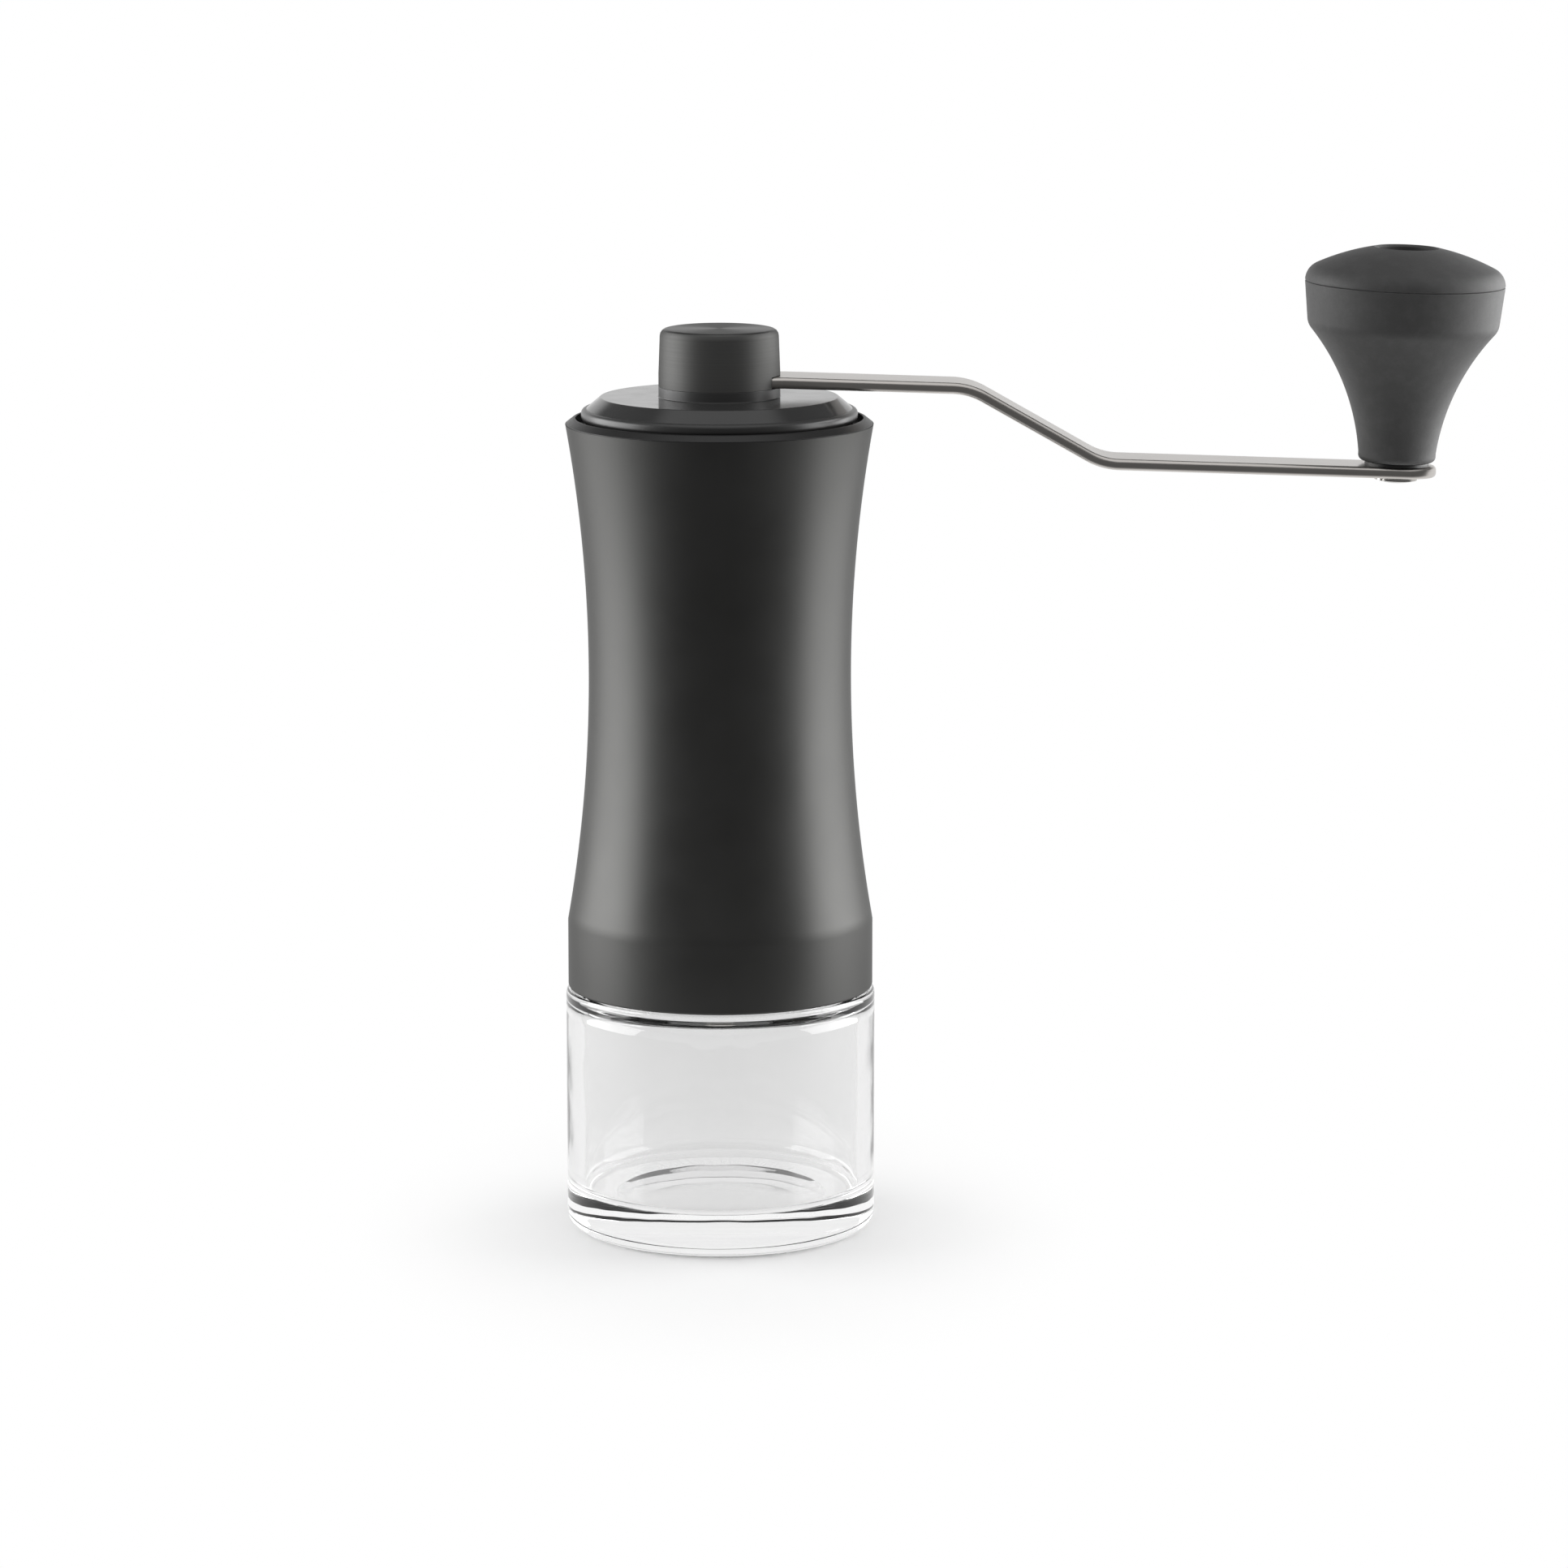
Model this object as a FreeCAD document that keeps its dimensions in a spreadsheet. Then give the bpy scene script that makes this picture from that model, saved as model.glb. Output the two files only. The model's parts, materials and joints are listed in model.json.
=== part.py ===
import FreeCAD, Part
import Sketcher
import math
import os
from types import SimpleNamespace

# Hand crank coffee grinder: a glass jar screwed under a waisted metal sleeve, with a hopper and
# two ceramic burrs inside it and a crank on a lid on top.
# Millimetres. The origin is where the grinder's own axis meets the table, +Z is up and the crank
# arm points along +X. Each piece is turned about its own axis and placed by its body.

# Driving dimensions
SIZES = {
    # Glass jar
    "jar_radius": 27.5,
    "jar_height": 43.4,
    "jar_wall": 3.0,
    "jar_floor": 7.2,
    "jar_heel": 3.0,
    "jar_inner_heel": 2.2,
    "jar_edge_round": 1.0,
    "foot_inset": 8.5,
    "foot_recess": 1.2,
    "neck_inset": 5.3,
    "neck_wall": 2.7,
    "neck_height": 8.4,
    "neck_edge_round": 0.6,
    # Screw thread between jar and body
    "thread_lead": 5.0,
    "thread_depth": 1.2,
    "thread_root": 2.0,
    "thread_crest": 0.8,
    "thread_lift": 1.4,
    "thread_sink": 0.3,
    "thread_clearance": 0.4,
    # Seal on the jar's neck
    "seal_thickness": 1.2,
    "seal_inset": 0.2,
    "seal_gap": 0.2,
    # Waisted sleeve
    "collar_gap": 0.4,
    "collar_height": 11.9,
    "sleeve_height": 100.5,
    "sleeve_inset": 0.4,
    "sleeve_wall": 1.2,
    "sleeve_edge": 0.3,
    "waist_depth": 3.9,
    "liner_gap": 0.25,
    # Hopper
    "hopper_wall": 1.6,
    "rim_height": 1.1,
    "rim_flat": 0.4,
    "rim_width": 1.8,
    "mouth_depth": 1.7,
    "bridge_seat_step": 1.3,
    "bridge_seat_drop": 4.6,
    "spigot_length": 6.0,
    "spigot_wall": 1.9,
    "socket_wall": 1.45,
    "socket_gap": 0.1,
    "funnel_length": 14.0,
    # Burr housing and bridges
    "skirt_inset": 0.4,
    "rib_margin": 1.0,
    "burr_ledge": 1.7,
    "rib_gap": 6.0,
    "rib_height": 7.0,
    "rib_width": 4.0,
    "rib_sink": 1.0,
    "rib_count": 3,
    "hub_radius": 6.8,
    "hub_height": 9.0,
    "bridge_gap": 0.15,
    "bridge_ring": 2.2,
    "bridge_thickness": 2.5,
    "bridge_hub_drop": 4.0,
    "bridge_hub_height": 7.0,
    # Bushes
    "bush_radius": 5.0,
    "bush_flange": 6.2,
    "bush_flange_thickness": 1.0,
    "press_gap": 0.02,
    "running_gap": 0.05,
    # Burrs
    "burr_inset": 7.1,
    "burr_height": 12.0,
    "burr_fit": 0.1,
    "burr_wall": 3.8,
    "burr_taper": 0.6,
    "burr_land": 3.5,
    "burr_mouth_wall": 2.0,
    "burr_gap": 0.35,
    "burr_skew": 25.0,
    "outer_teeth": 18,
    "outer_tooth_depth": 1.5,
    "outer_tooth_half": 2.2,
    "inner_teeth": 10,
    "inner_tooth_depth": 1.5,
    "inner_tooth_half": 3.9,
    "inner_tooth_opening": 3.0,
    "inner_burr_rise": 1.5,
    "inner_burr_drop": 0.5,
    "inner_burr_top": 7.6,
    "spring_pocket_radius": 5.9,
    "spring_pocket_depth": 6.0,
    # Burr clamp ring and its screws
    "clamp_thickness": 2.0,
    "clamp_lap": 3.0,
    "clamp_gap": 0.3,
    "clamp_screw_inset": 1.5,
    "clamp_screw_radius": 1.0,
    "clamp_screw_length": 8.0,
    "clamp_head_radius": 1.6,
    "clamp_head_height": 1.1,
    "screw_gap": 0.1,
    # Drive shaft
    "shaft_radius": 3.5,
    "shaft_flats": 5.6,
    "shaft_tip": 1.0,
    "shaft_chamfer": 0.6,
    "hex_flats": 6.0,
    "hex_length": 12.0,
    "hex_fit": 0.1,
    "clip_groove_radius": 2.9,
    "clip_thickness": 0.8,
    "clip_radius": 6.0,
    "clip_mouth": 4.2,
    "clip_gap": 0.1,
    "washer_thickness": 0.8,
    "washer_radius": 6.2,
    "washer_bore_gap": 0.2,
    # Burr spring
    "spring_wire": 0.5,
    "spring_radius": 4.7,
    "spring_turns": 4,
    "spring_end_gap": 0.05,
    # Burr carrier, click plate and adjusting nut
    "carrier_radius": 11.0,
    "carrier_thickness": 2.0,
    "carrier_hub_radius": 5.0,
    "slide_gap": 0.1,
    "click_radius": 9.0,
    "click_thickness": 1.0,
    "click_count": 12,
    "click_ring": 7.2,
    "click_dimple": 0.6,
    "click_depth": 0.4,
    "nut_radius": 9.5,
    "nut_height": 6.0,
    "nut_gap": 0.1,
    "nut_flutes": 8,
    "nut_flute_radius": 2.2,
    "nut_flute_ring": 10.7,
    # Lid
    "lid_gap": 1.0,
    "lid_drop": 0.5,
    "lid_lip": 2.1,
    "lid_bevel_height": 2.1,
    "lid_bevel_width": 3.4,
    "lid_plate": 2.0,
    "lid_skirt_gap": 0.8,
    "lid_skirt_wall": 1.5,
    "lid_skirt_depth": 1.8,
    "boss_radius": 10.7,
    "boss_height": 1.85,
    "boss_bore_gap": 0.6,
    # Hub cap and its screws
    "cap_height": 10.1,
    "cap_top_radius": 10.4,
    "cap_edge": 1.2,
    "cap_socket": 4.2,
    "slot_gap": 0.1,
    "hub_screw_offset": 7.2,
    "hub_screw_radius": 1.25,
    "hub_screw_reach": 4.0,
    "hub_head_radius": 2.1,
    "hub_head_height": 1.4,
    # Crank arm
    "arm_width": 10.5,
    "arm_thickness": 2.0,
    "arm_tail": 6.25,
    "arm_droop": 1.8,
    "arm_bend_angle": 29.5,
    "arm_bend_radius": 12.0,
    "arm_droop_start": 11.5,
    "arm_bend_start": 43.8,
    "arm_bend_end": 67.2,
    "arm_reach": 119.0,
    "arm_overhang": 7.0,
    "arm_edge": 0.7,
    # Knob and its spindle
    "knob_washer_thickness": 0.6,
    "knob_washer_radius": 5.6,
    "knob_neck_radius": 6.8,
    "knob_neck_edge": 1.0,
    "knob_neck_top": 1.6,
    "knob_shoulder_radius": 16.1,
    "knob_shoulder_height": 23.0,
    "knob_flare": 40.0,
    "knob_band_radius": 16.8,
    "knob_band_height": 24.7,
    "knob_shoulder_bend": 3.1,
    "knob_radius": 17.5,
    "knob_seam_height": 31.3,
    "knob_recess_radius": 12.0,
    "knob_recess_depth": 4.0,
    "knob_cap_gap": 0.1,
    "knob_cap_edge": 3.2,
    "knob_cap_edge_height": 3.0,
    "knob_cap_edge_inset": 1.9,
    "knob_cap_crown": 40.0,
    "knob_cap_height": 6.3,
    "knob_cap_wall": 2.9,
    "knob_cap_ceiling": 2.6,
    "knob_hole_radius": 5.3,
    "knob_hole_edge": 0.4,
    "spindle_radius": 3.0,
    "spindle_head_radius": 4.6,
    "spindle_head_height": 1.6,
    "spindle_head_gap": 0.3,
    "spindle_tail_radius": 2.5,
    "rivet_flange_radius": 4.1,
    "rivet_flange": 0.25,
    "rivet_radius": 3.75,
    "rivet_height": 1.25,
    "rivet_dome_rise": 0.6,
    "knob_bush_radius": 4.2,
}

HALF = 0.5
FULL_TURN = 360.0
QUARTER_TURN = 90.0
HUB_SCREWS = 2
EDGE_MARGIN = 0.01
ARCS_PER_TURN = 4
CHECKS_PER_ARC = 6
HEX_CORNER = 1.0 / math.sqrt(3.0)
LEFT = 1
RIGHT = -1

document = FreeCAD.newDocument("coffee_grinder")
sheet = document.addObject("Spreadsheet::Sheet", "sizes")
for row, (size_name, size_value) in enumerate(SIZES.items(), start=1):
    sheet.set(f"A{row}", str(size_value))
    sheet.setAlias(f"A{row}", size_name)
document.recompute()
pieces = []


class Size:
    """A length, angle or count that carries its formula over the sheet and its present value."""

    def __init__(self, text, value):
        self.text = text
        self.value = value

    def __add__(self, other):
        other = as_size(other)
        return Size(f"({self.text} + {other.text})", self.value + other.value)

    def __sub__(self, other):
        other = as_size(other)
        return Size(f"({self.text} - {other.text})", self.value - other.value)

    def __mul__(self, other):
        other = as_size(other)
        return Size(f"({self.text} * {other.text})", self.value * other.value)

    def __truediv__(self, other):
        other = as_size(other)
        return Size(f"({self.text} / {other.text})", self.value / other.value)

    def __neg__(self):
        return Size(f"(0 - {self.text})", -self.value)


def as_size(number):
    """The number itself if it is a Size already, or else a constant one."""
    if isinstance(number, Size):
        return number
    return Size(repr(float(number)), float(number))


def root(size):
    return Size(f"sqrt({size.text})", math.sqrt(size.value))


def sine(angle):
    return Size(f"sin({angle.text})", math.sin(math.radians(angle.value)))


def cosine(angle):
    return Size(f"cos({angle.text})", math.cos(math.radians(angle.value)))


def tangent(angle):
    return Size(f"tan({angle.text})", math.tan(math.radians(angle.value)))


s = SimpleNamespace(**{name: Size(f"sizes.{name}", value) for name, value in SIZES.items()})
ZERO = as_size(0.0)


# Sketches, features and places

def new_body(label):
    """An empty body that becomes the sub-part of that name."""
    body = document.addObject("PartDesign::Body", label)
    body.Label = label
    pieces.append(body)
    return body


def place(body, x=ZERO, z=ZERO, lean=ZERO):
    """Stand a body's own axis at x and z, leaning by an angle towards +X."""
    body.Placement = FreeCAD.Placement(
        FreeCAD.Vector(x.value, 0, z.value), FreeCAD.Rotation(FreeCAD.Vector(0, 1, 0), lean.value)
    )
    body.setExpression("Placement.Base.x", x.text)
    body.setExpression("Placement.Base.z", z.text)
    if lean.value:
        body.setExpression("Placement.Rotation.Angle", lean.text)
    document.recompute()
    return body


def origin_item(body, role):
    return next(item for item in body.Origin.OriginFeatures if item.Role == role)


def new_sketch(body, role, lift=ZERO):
    """A sketch on one of the body's own planes, lifted along the plane's normal."""
    sketch = body.newObject("Sketcher::SketchObject", f"{body.Label}_sketch")
    sketch.AttachmentSupport = [(origin_item(body, role), "")]
    sketch.MapMode = "FlatFace"
    if lift.value:
        sketch.setExpression("AttachmentOffset.Base.z", lift.text)
    return sketch


def bind(sketch, kind, references, size):
    """Add a constraint that follows the size."""
    index = sketch.addConstraint(Sketcher.Constraint(kind, *references, size.value))
    sketch.setExpression(f"Constraints[{index}]", size.text)


def pin(sketch, geometry, point, x, y):
    """Hold one point of a sketch at x and y."""
    for kind, axis, size in (("DistanceX", -2, as_size(x)), ("DistanceY", -1, as_size(y))):
        if size.value == 0.0:
            sketch.addConstraint(Sketcher.Constraint("PointOnObject", geometry, point, axis))
        else:
            bind(sketch, kind, (-1, 1, geometry, point), size)


def arc_between(start, stop, radius, turn):
    """The short arc from start to stop that bends to the left or to the right."""
    chord = stop - start
    side = FreeCAD.Vector(-chord.y, chord.x, 0).normalize()
    reach = math.sqrt(max(radius**2 - chord.Length**2 / 4, 0.0))
    centre = (start + stop) * HALF + side * reach * turn
    first, last = (start, stop) if turn == LEFT else (stop, start)
    angles = [math.atan2(end.y - centre.y, end.x - centre.x) for end in (first, last)]
    circle = Part.Circle(centre, FreeCAD.Vector(0, 0, 1), radius)
    return Part.ArcOfCircle(circle, *angles)


def draw(sketch, corners, closed=True):
    """An outline through the corners: (x, y), or (x, y, radius, turn) where an arc leaves a corner."""
    points = [FreeCAD.Vector(as_size(c[0]).value, as_size(c[1]).value, 0) for c in corners]
    count = len(corners)
    spans = count if closed else count - 1
    ends = []
    for index in range(spans):
        start, stop = points[index], points[(index + 1) % count]
        if len(corners[index]) == 2:
            ends.append((sketch.addGeometry(Part.LineSegment(start, stop)), 1, 2))
            continue
        radius, turn = corners[index][2:]
        arc = sketch.addGeometry(arc_between(start, stop, radius.value, turn))
        ends.append((arc, 1, 2) if turn == LEFT else (arc, 2, 1))
        bind(sketch, "Radius", (arc,), radius)
    for index in range(spans if closed else spans - 1):
        here, following = ends[index], ends[(index + 1) % spans]
        sketch.addConstraint(
            Sketcher.Constraint("Coincident", here[0], here[2], following[0], following[1])
        )
    for index, (geometry, first, last) in enumerate(ends):
        pin(sketch, geometry, first, *corners[index][:2])
    if not closed:
        pin(sketch, ends[-1][0], ends[-1][2], *corners[-1][:2])
    return sketch


def draw_circle(sketch, x, y, radius):
    centre = FreeCAD.Vector(as_size(x).value, as_size(y).value, 0)
    circle = sketch.addGeometry(Part.Circle(centre, FreeCAD.Vector(0, 0, 1), radius.value))
    pin(sketch, circle, 3, x, y)
    bind(sketch, "Radius", (circle,), radius)
    return sketch


def add_feature(body, kind, sketch):
    feature = body.newObject(f"PartDesign::{kind}", f"{body.Label}_{kind.lower()}")
    feature.Profile = sketch
    return feature


def settle(body, feature, removes):
    """Recompute, and refuse a cut that takes nothing away."""
    before = feature.BaseFeature.Shape.Volume if removes else None
    document.recompute()
    if removes and not body.Shape.Volume < before:
        raise ValueError(f"{feature.Name} cuts nothing")
    return feature


def revolve(body, corners, kind="Revolution", axis_x=None):
    """Turn an outline of radius and height about the body's axis, or about a line beside it."""
    sketch = draw(new_sketch(body, "XZ_Plane"), corners)
    axis = "V_Axis"
    if axis_x is not None:
        foot = FreeCAD.Vector(axis_x.value, 0, 0)
        line = sketch.addGeometry(Part.LineSegment(foot, foot + FreeCAD.Vector(0, 1, 0)), True)
        pin(sketch, line, 1, axis_x, 0.0)
        pin(sketch, line, 2, axis_x, 1.0)
        axis = "Axis0"
    feature = add_feature(body, kind, sketch)
    feature.ReferenceAxis = (sketch, [axis])
    feature.Angle = FULL_TURN
    return settle(body, feature, kind == "Groove")


def turned(label, corners):
    body = new_body(label)
    revolve(body, corners)
    return body


def pad(body, sketch, length):
    feature = add_feature(body, "Pad", sketch)
    feature.setExpression("Length", length.text)
    return settle(body, feature, False)


def pocket(body, sketch, depth):
    """Cut down from the sketch's plane."""
    feature = add_feature(body, "Pocket", sketch)
    feature.setExpression("Length", depth.text)
    return settle(body, feature, True)


def loft_cut(body, low, high):
    """Cut a straight-sided groove between two sketches."""
    feature = add_feature(body, "SubtractiveLoft", low)
    feature.Sections = [high]
    feature.Ruled = True
    return settle(body, feature, True)


def polar(body, features, count):
    """Repeat features evenly about the body's axis."""
    pattern = body.newObject("PartDesign::PolarPattern", f"{body.Label}_pattern")
    pattern.Originals = features
    pattern.Axis = (origin_item(body, "Z_Axis"), [""])
    pattern.Angle = FULL_TURN
    pattern.setExpression("Occurrences", count.text)
    body.Tip = pattern
    document.recompute()
    return pattern


def helix_ridge(body, corners, lead, height):
    """Wind an outline of radius and height up the body's axis as a right-hand thread."""
    feature = add_feature(body, "AdditiveHelix", draw(new_sketch(body, "XZ_Plane"), corners))
    feature.ReferenceAxis = (feature.Profile[0], ["V_Axis"])
    feature.Mode = "pitch-height-angle"
    feature.setExpression("Pitch", lead.text)
    feature.setExpression("Height", height.text)
    return settle(body, feature, False)


def round_edges(body, radius, wanted):
    """Round the edges that the test picks out."""
    base = body.Tip
    names = [f"Edge{n}" for n, edge in enumerate(base.Shape.Edges, start=1) if wanted(edge)]
    feature = body.newObject("PartDesign::Fillet", f"{body.Label}_fillet")
    feature.Base = (base, names)
    feature.setExpression("Radius", radius.text)
    document.recompute()
    return feature


def hexagon(flats):
    """Corners of a hexagon with two flats square to Y."""
    corner = flats * HEX_CORNER
    half = flats * HALF
    quarter = corner * HALF
    return [
        (corner, 0.0),
        (quarter, half),
        (-quarter, half),
        (-corner, 0.0),
        (-quarter, -half),
        (quarter, -half),
    ]


def two_flats(radius, flats):
    """Outline of a round bar with two flats square to X."""
    half = flats * HALF
    rise = root(radius * radius - half * half)
    return [(half, -rise), (half, rise, radius, LEFT), (-half, rise), (-half, -rise, radius, LEFT)]


def ring(inner, outer, low, high):
    """Outline of a plain ring."""
    return [(inner, low), (outer, low), (outer, high), (inner, high)]


# Places that several pieces share, as heights above the table

foot_radius = s.jar_radius - s.foot_inset
neck_radius = s.jar_radius - s.neck_inset
sleeve_radius = s.jar_radius - s.sleeve_inset
waist_radius = sleeve_radius - s.waist_depth
mouth_radius = sleeve_radius - s.rim_width
bridge_seat_radius = mouth_radius - s.bridge_seat_step
burr_radius = sleeve_radius - s.burr_inset
burr_throat = burr_radius - s.burr_wall
burr_mouth = burr_radius - s.burr_mouth_wall
clamp_bore = burr_radius - s.clamp_lap
clamp_screw_ring = burr_radius + s.clamp_screw_inset
shaft_thread_radius = s.shaft_flats * HALF - s.running_gap

neck_top = s.jar_height + s.neck_height
neck_bore = neck_radius - s.neck_wall
clamp_low = neck_top + s.seal_thickness + s.seal_gap
burr_low = clamp_low + s.clamp_thickness
burr_high = burr_low + s.burr_height
thread_bore = neck_radius + s.thread_depth + s.thread_clearance

sleeve_low = s.jar_height + s.collar_gap
sleeve_high = sleeve_low + s.sleeve_height
collar_high = sleeve_low + s.collar_height
waist_height = (sleeve_high + collar_high) * HALF
waist_span = (sleeve_high - collar_high) * HALF
waist_arc = (waist_span * waist_span + s.waist_depth * s.waist_depth) / (s.waist_depth * 2.0)


def waist_curve(inset, height):
    """Radius at a height of the sleeve's waist curve, moved inwards by the inset."""
    arc = waist_arc + inset
    rise = height - waist_height
    return waist_radius + waist_arc - root(arc * arc - rise * rise)


liner_inset = s.sleeve_wall + s.liner_gap
liner_arc = waist_arc + liner_inset
liner_waist = waist_radius - liner_inset
spigot_radius = liner_waist - s.socket_wall
bean_bore = spigot_radius - s.spigot_wall
rib_low = burr_high + s.rib_gap
spigot_low = rib_low + s.rib_height + s.rib_margin
housing_high = spigot_low + s.spigot_length
rim_top = sleeve_high + s.rim_height
bridge_low = sleeve_high - s.bridge_seat_drop
bridge_radius = bridge_seat_radius - s.bridge_gap

hub_low = rib_low - (s.hub_height - s.rib_height) * HALF
hub_high = hub_low + s.hub_height
washer_high = hub_low - s.bush_flange_thickness - s.clip_gap
washer_low = washer_high - s.washer_thickness
clip_low = hub_high + s.clip_gap

inner_burr_low = burr_low - s.inner_burr_drop
inner_burr_high = burr_high + s.inner_burr_rise
spring_seat = inner_burr_high - s.spring_pocket_depth
carrier_low = inner_burr_low - s.carrier_thickness
click_low = carrier_low - s.click_thickness
nut_high = click_low - s.nut_gap
nut_low = nut_high - s.nut_height

lid_low = rim_top - s.lid_drop
lid_radius = mouth_radius - s.lid_gap
lid_top_radius = lid_radius - s.lid_bevel_width
lid_top = lid_low + s.lid_lip + s.lid_bevel_height
lid_under = lid_top - s.lid_plate
boss_top = lid_top + s.boss_height
arm_middle = boss_top + s.arm_thickness * HALF
shaft_top = boss_top + s.arm_thickness + s.cap_socket
hex_low = shaft_top - s.hex_length
hex_hole = s.hex_flats + s.hex_fit * 2.0

first_drop = (s.arm_bend_start - s.arm_droop_start) * tangent(s.arm_droop)
bend_drop = (s.arm_bend_end - s.arm_bend_start) * tangent(s.arm_bend_angle)
last_drop = (s.arm_reach - s.arm_bend_end) * tangent(s.arm_droop)
knob_seat_x = s.arm_reach + s.arm_thickness * HALF * sine(s.arm_droop)
knob_seat_z = arm_middle - first_drop - bend_drop - last_drop
knob_seat_z = knob_seat_z + s.arm_thickness * HALF * cosine(s.arm_droop)
knob_seam = s.knob_washer_thickness + s.knob_seam_height
recess_floor = knob_seam - s.knob_recess_depth


# The jar and its seal

def thread_ridge(root_radius, crest_radius, middle):
    """Outline of a thread ridge, rooted a little inside the wall that carries it."""
    root_half = s.thread_root * HALF
    crest_half = s.thread_crest * HALF
    return [
        (root_radius, middle - root_half),
        (crest_radius, middle - crest_half),
        (crest_radius, middle + crest_half),
        (root_radius, middle + root_half),
    ]


def glass_jar():
    bore = s.jar_radius - s.jar_wall
    shoulder = bore - neck_bore
    foot_outer = s.jar_radius - s.jar_heel
    recess_arc = (foot_radius * foot_radius + s.foot_recess * s.foot_recess) / (s.foot_recess * 2.0)
    edge = s.jar_edge_round
    lip = s.neck_edge_round
    body = turned("glass_jar", [
        (0.0, s.foot_recess, recess_arc, RIGHT),
        (foot_radius, 0.0),
        (foot_outer, 0.0, s.jar_heel, LEFT),
        (s.jar_radius, s.jar_heel),
        (s.jar_radius, s.jar_height - edge, edge, LEFT),
        (s.jar_radius - edge, s.jar_height),
        (neck_radius, s.jar_height),
        (neck_radius, neck_top - lip, lip, LEFT),
        (neck_radius - lip, neck_top),
        (neck_bore, neck_top),
        (neck_bore, s.jar_height, shoulder, RIGHT),
        (bore, s.jar_height - shoulder),
        (bore, s.jar_floor + s.jar_inner_heel, s.jar_inner_heel, RIGHT),
        (bore - s.jar_inner_heel, s.jar_floor),
        (0.0, s.jar_floor),
    ])
    middle = s.jar_height + s.thread_lift
    crest = neck_radius + s.thread_depth
    ridge = thread_ridge(neck_radius - s.thread_sink, crest, middle)
    helix_ridge(body, ridge, s.thread_lead, s.thread_lead)
    return place(body)


def jar_seal():
    body = turned("jar_seal", ring(neck_bore + s.seal_inset, neck_radius, 0.0, s.seal_thickness))
    return place(body, z=neck_top)


# The fixed body of the grinder

def body_sleeve():
    inner_arc = waist_arc + s.sleeve_wall
    inner_low = waist_curve(s.sleeve_wall, collar_high)
    edge = s.sleeve_edge
    body = turned("body_sleeve", [
        (inner_low, sleeve_low),
        (sleeve_radius - edge, sleeve_low),
        (sleeve_radius, sleeve_low + edge),
        (sleeve_radius, collar_high, waist_arc, RIGHT),
        (waist_radius, waist_height, waist_arc, RIGHT),
        (sleeve_radius, sleeve_high),
        (waist_curve(s.sleeve_wall, sleeve_high), sleeve_high, inner_arc, LEFT),
        (waist_radius - s.sleeve_wall, waist_height, inner_arc, LEFT),
        (inner_low, collar_high),
    ])
    return place(body)


def hopper():
    bore_inset = liner_inset + s.hopper_wall
    bore_arc = waist_arc + bore_inset
    step = rim_top - s.mouth_depth
    body = turned("hopper", [
        (bean_bore, spigot_low),
        (spigot_radius, spigot_low),
        (spigot_radius, housing_high),
        (liner_waist, housing_high),
        (liner_waist, waist_height, liner_arc, RIGHT),
        (waist_curve(liner_inset, sleeve_high), sleeve_high),
        (sleeve_radius, sleeve_high),
        (mouth_radius + s.rim_flat, rim_top),
        (mouth_radius, rim_top),
        (mouth_radius, step),
        (bridge_seat_radius, step),
        (bridge_seat_radius, bridge_low),
        (waist_curve(bore_inset, bridge_low), bridge_low, bore_arc, LEFT),
        (waist_radius - bore_inset, waist_height),
        (bean_bore, waist_height - s.funnel_length),
    ])
    return place(body)


def add_bridge(body, wall_radius, low, height, hub, hub_base, hub_length):
    """Ribs from a wall to a hub in the middle that a bush presses into."""
    sketch = new_sketch(body, "XY_Plane", low)
    half = s.rib_width * HALF
    outer = wall_radius + s.rib_sink
    draw(sketch, [(ZERO, -half), (ZERO, half), (-outer, half), (-outer, -half)])
    rib = pad(body, sketch, height)
    polar(body, [rib], s.rib_count)
    hub_top = hub_base + hub_length
    revolve(body, [(0.0, hub_base), (hub, hub_base), (hub, hub_top), (0.0, hub_top)])
    bore = draw_circle(new_sketch(body, "XY_Plane", hub_top), 0.0, 0.0, s.bush_radius + s.press_gap)
    pocket(body, bore, hub_length)


def burr_housing():
    low = sleeve_low + s.skirt_inset
    socket = spigot_radius + s.socket_gap
    throat = burr_radius - s.burr_ledge
    seat = burr_radius + s.burr_fit
    body = turned("burr_housing", [
        (thread_bore, low),
        (waist_curve(liner_inset, collar_high), low),
        (waist_curve(liner_inset, collar_high), collar_high, liner_arc, RIGHT),
        (waist_curve(liner_inset, housing_high), housing_high),
        (socket, housing_high),
        (socket, spigot_low),
        (throat, spigot_low),
        (throat, burr_high),
        (seat, burr_high),
        (seat, burr_low),
        (thread_bore, burr_low),
    ])
    add_bridge(body, throat, rib_low, s.rib_height, s.hub_radius, hub_low, s.hub_height)
    hole = new_sketch(body, "XY_Plane", clamp_low + s.clamp_screw_length)
    draw_circle(hole, clamp_screw_ring, 0.0, s.clamp_screw_radius + s.press_gap)
    polar(body, [pocket(body, hole, s.clamp_screw_length)], s.rib_count)
    middle = s.jar_height + s.thread_lift + s.thread_lead * HALF
    ridge = thread_ridge(thread_bore + s.thread_sink, neck_radius + s.thread_clearance, middle)
    helix_ridge(body, ridge, s.thread_lead, s.thread_lead * HALF)
    return place(body)


def upper_bridge():
    inner = bridge_radius - s.bridge_ring
    body = turned("upper_bridge", ring(inner, bridge_radius, 0.0, s.bridge_thickness))
    add_bridge(body, inner, ZERO, s.bridge_thickness, s.hub_radius, -s.bridge_hub_drop, s.bridge_hub_height)
    return place(body, z=bridge_low)


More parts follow.
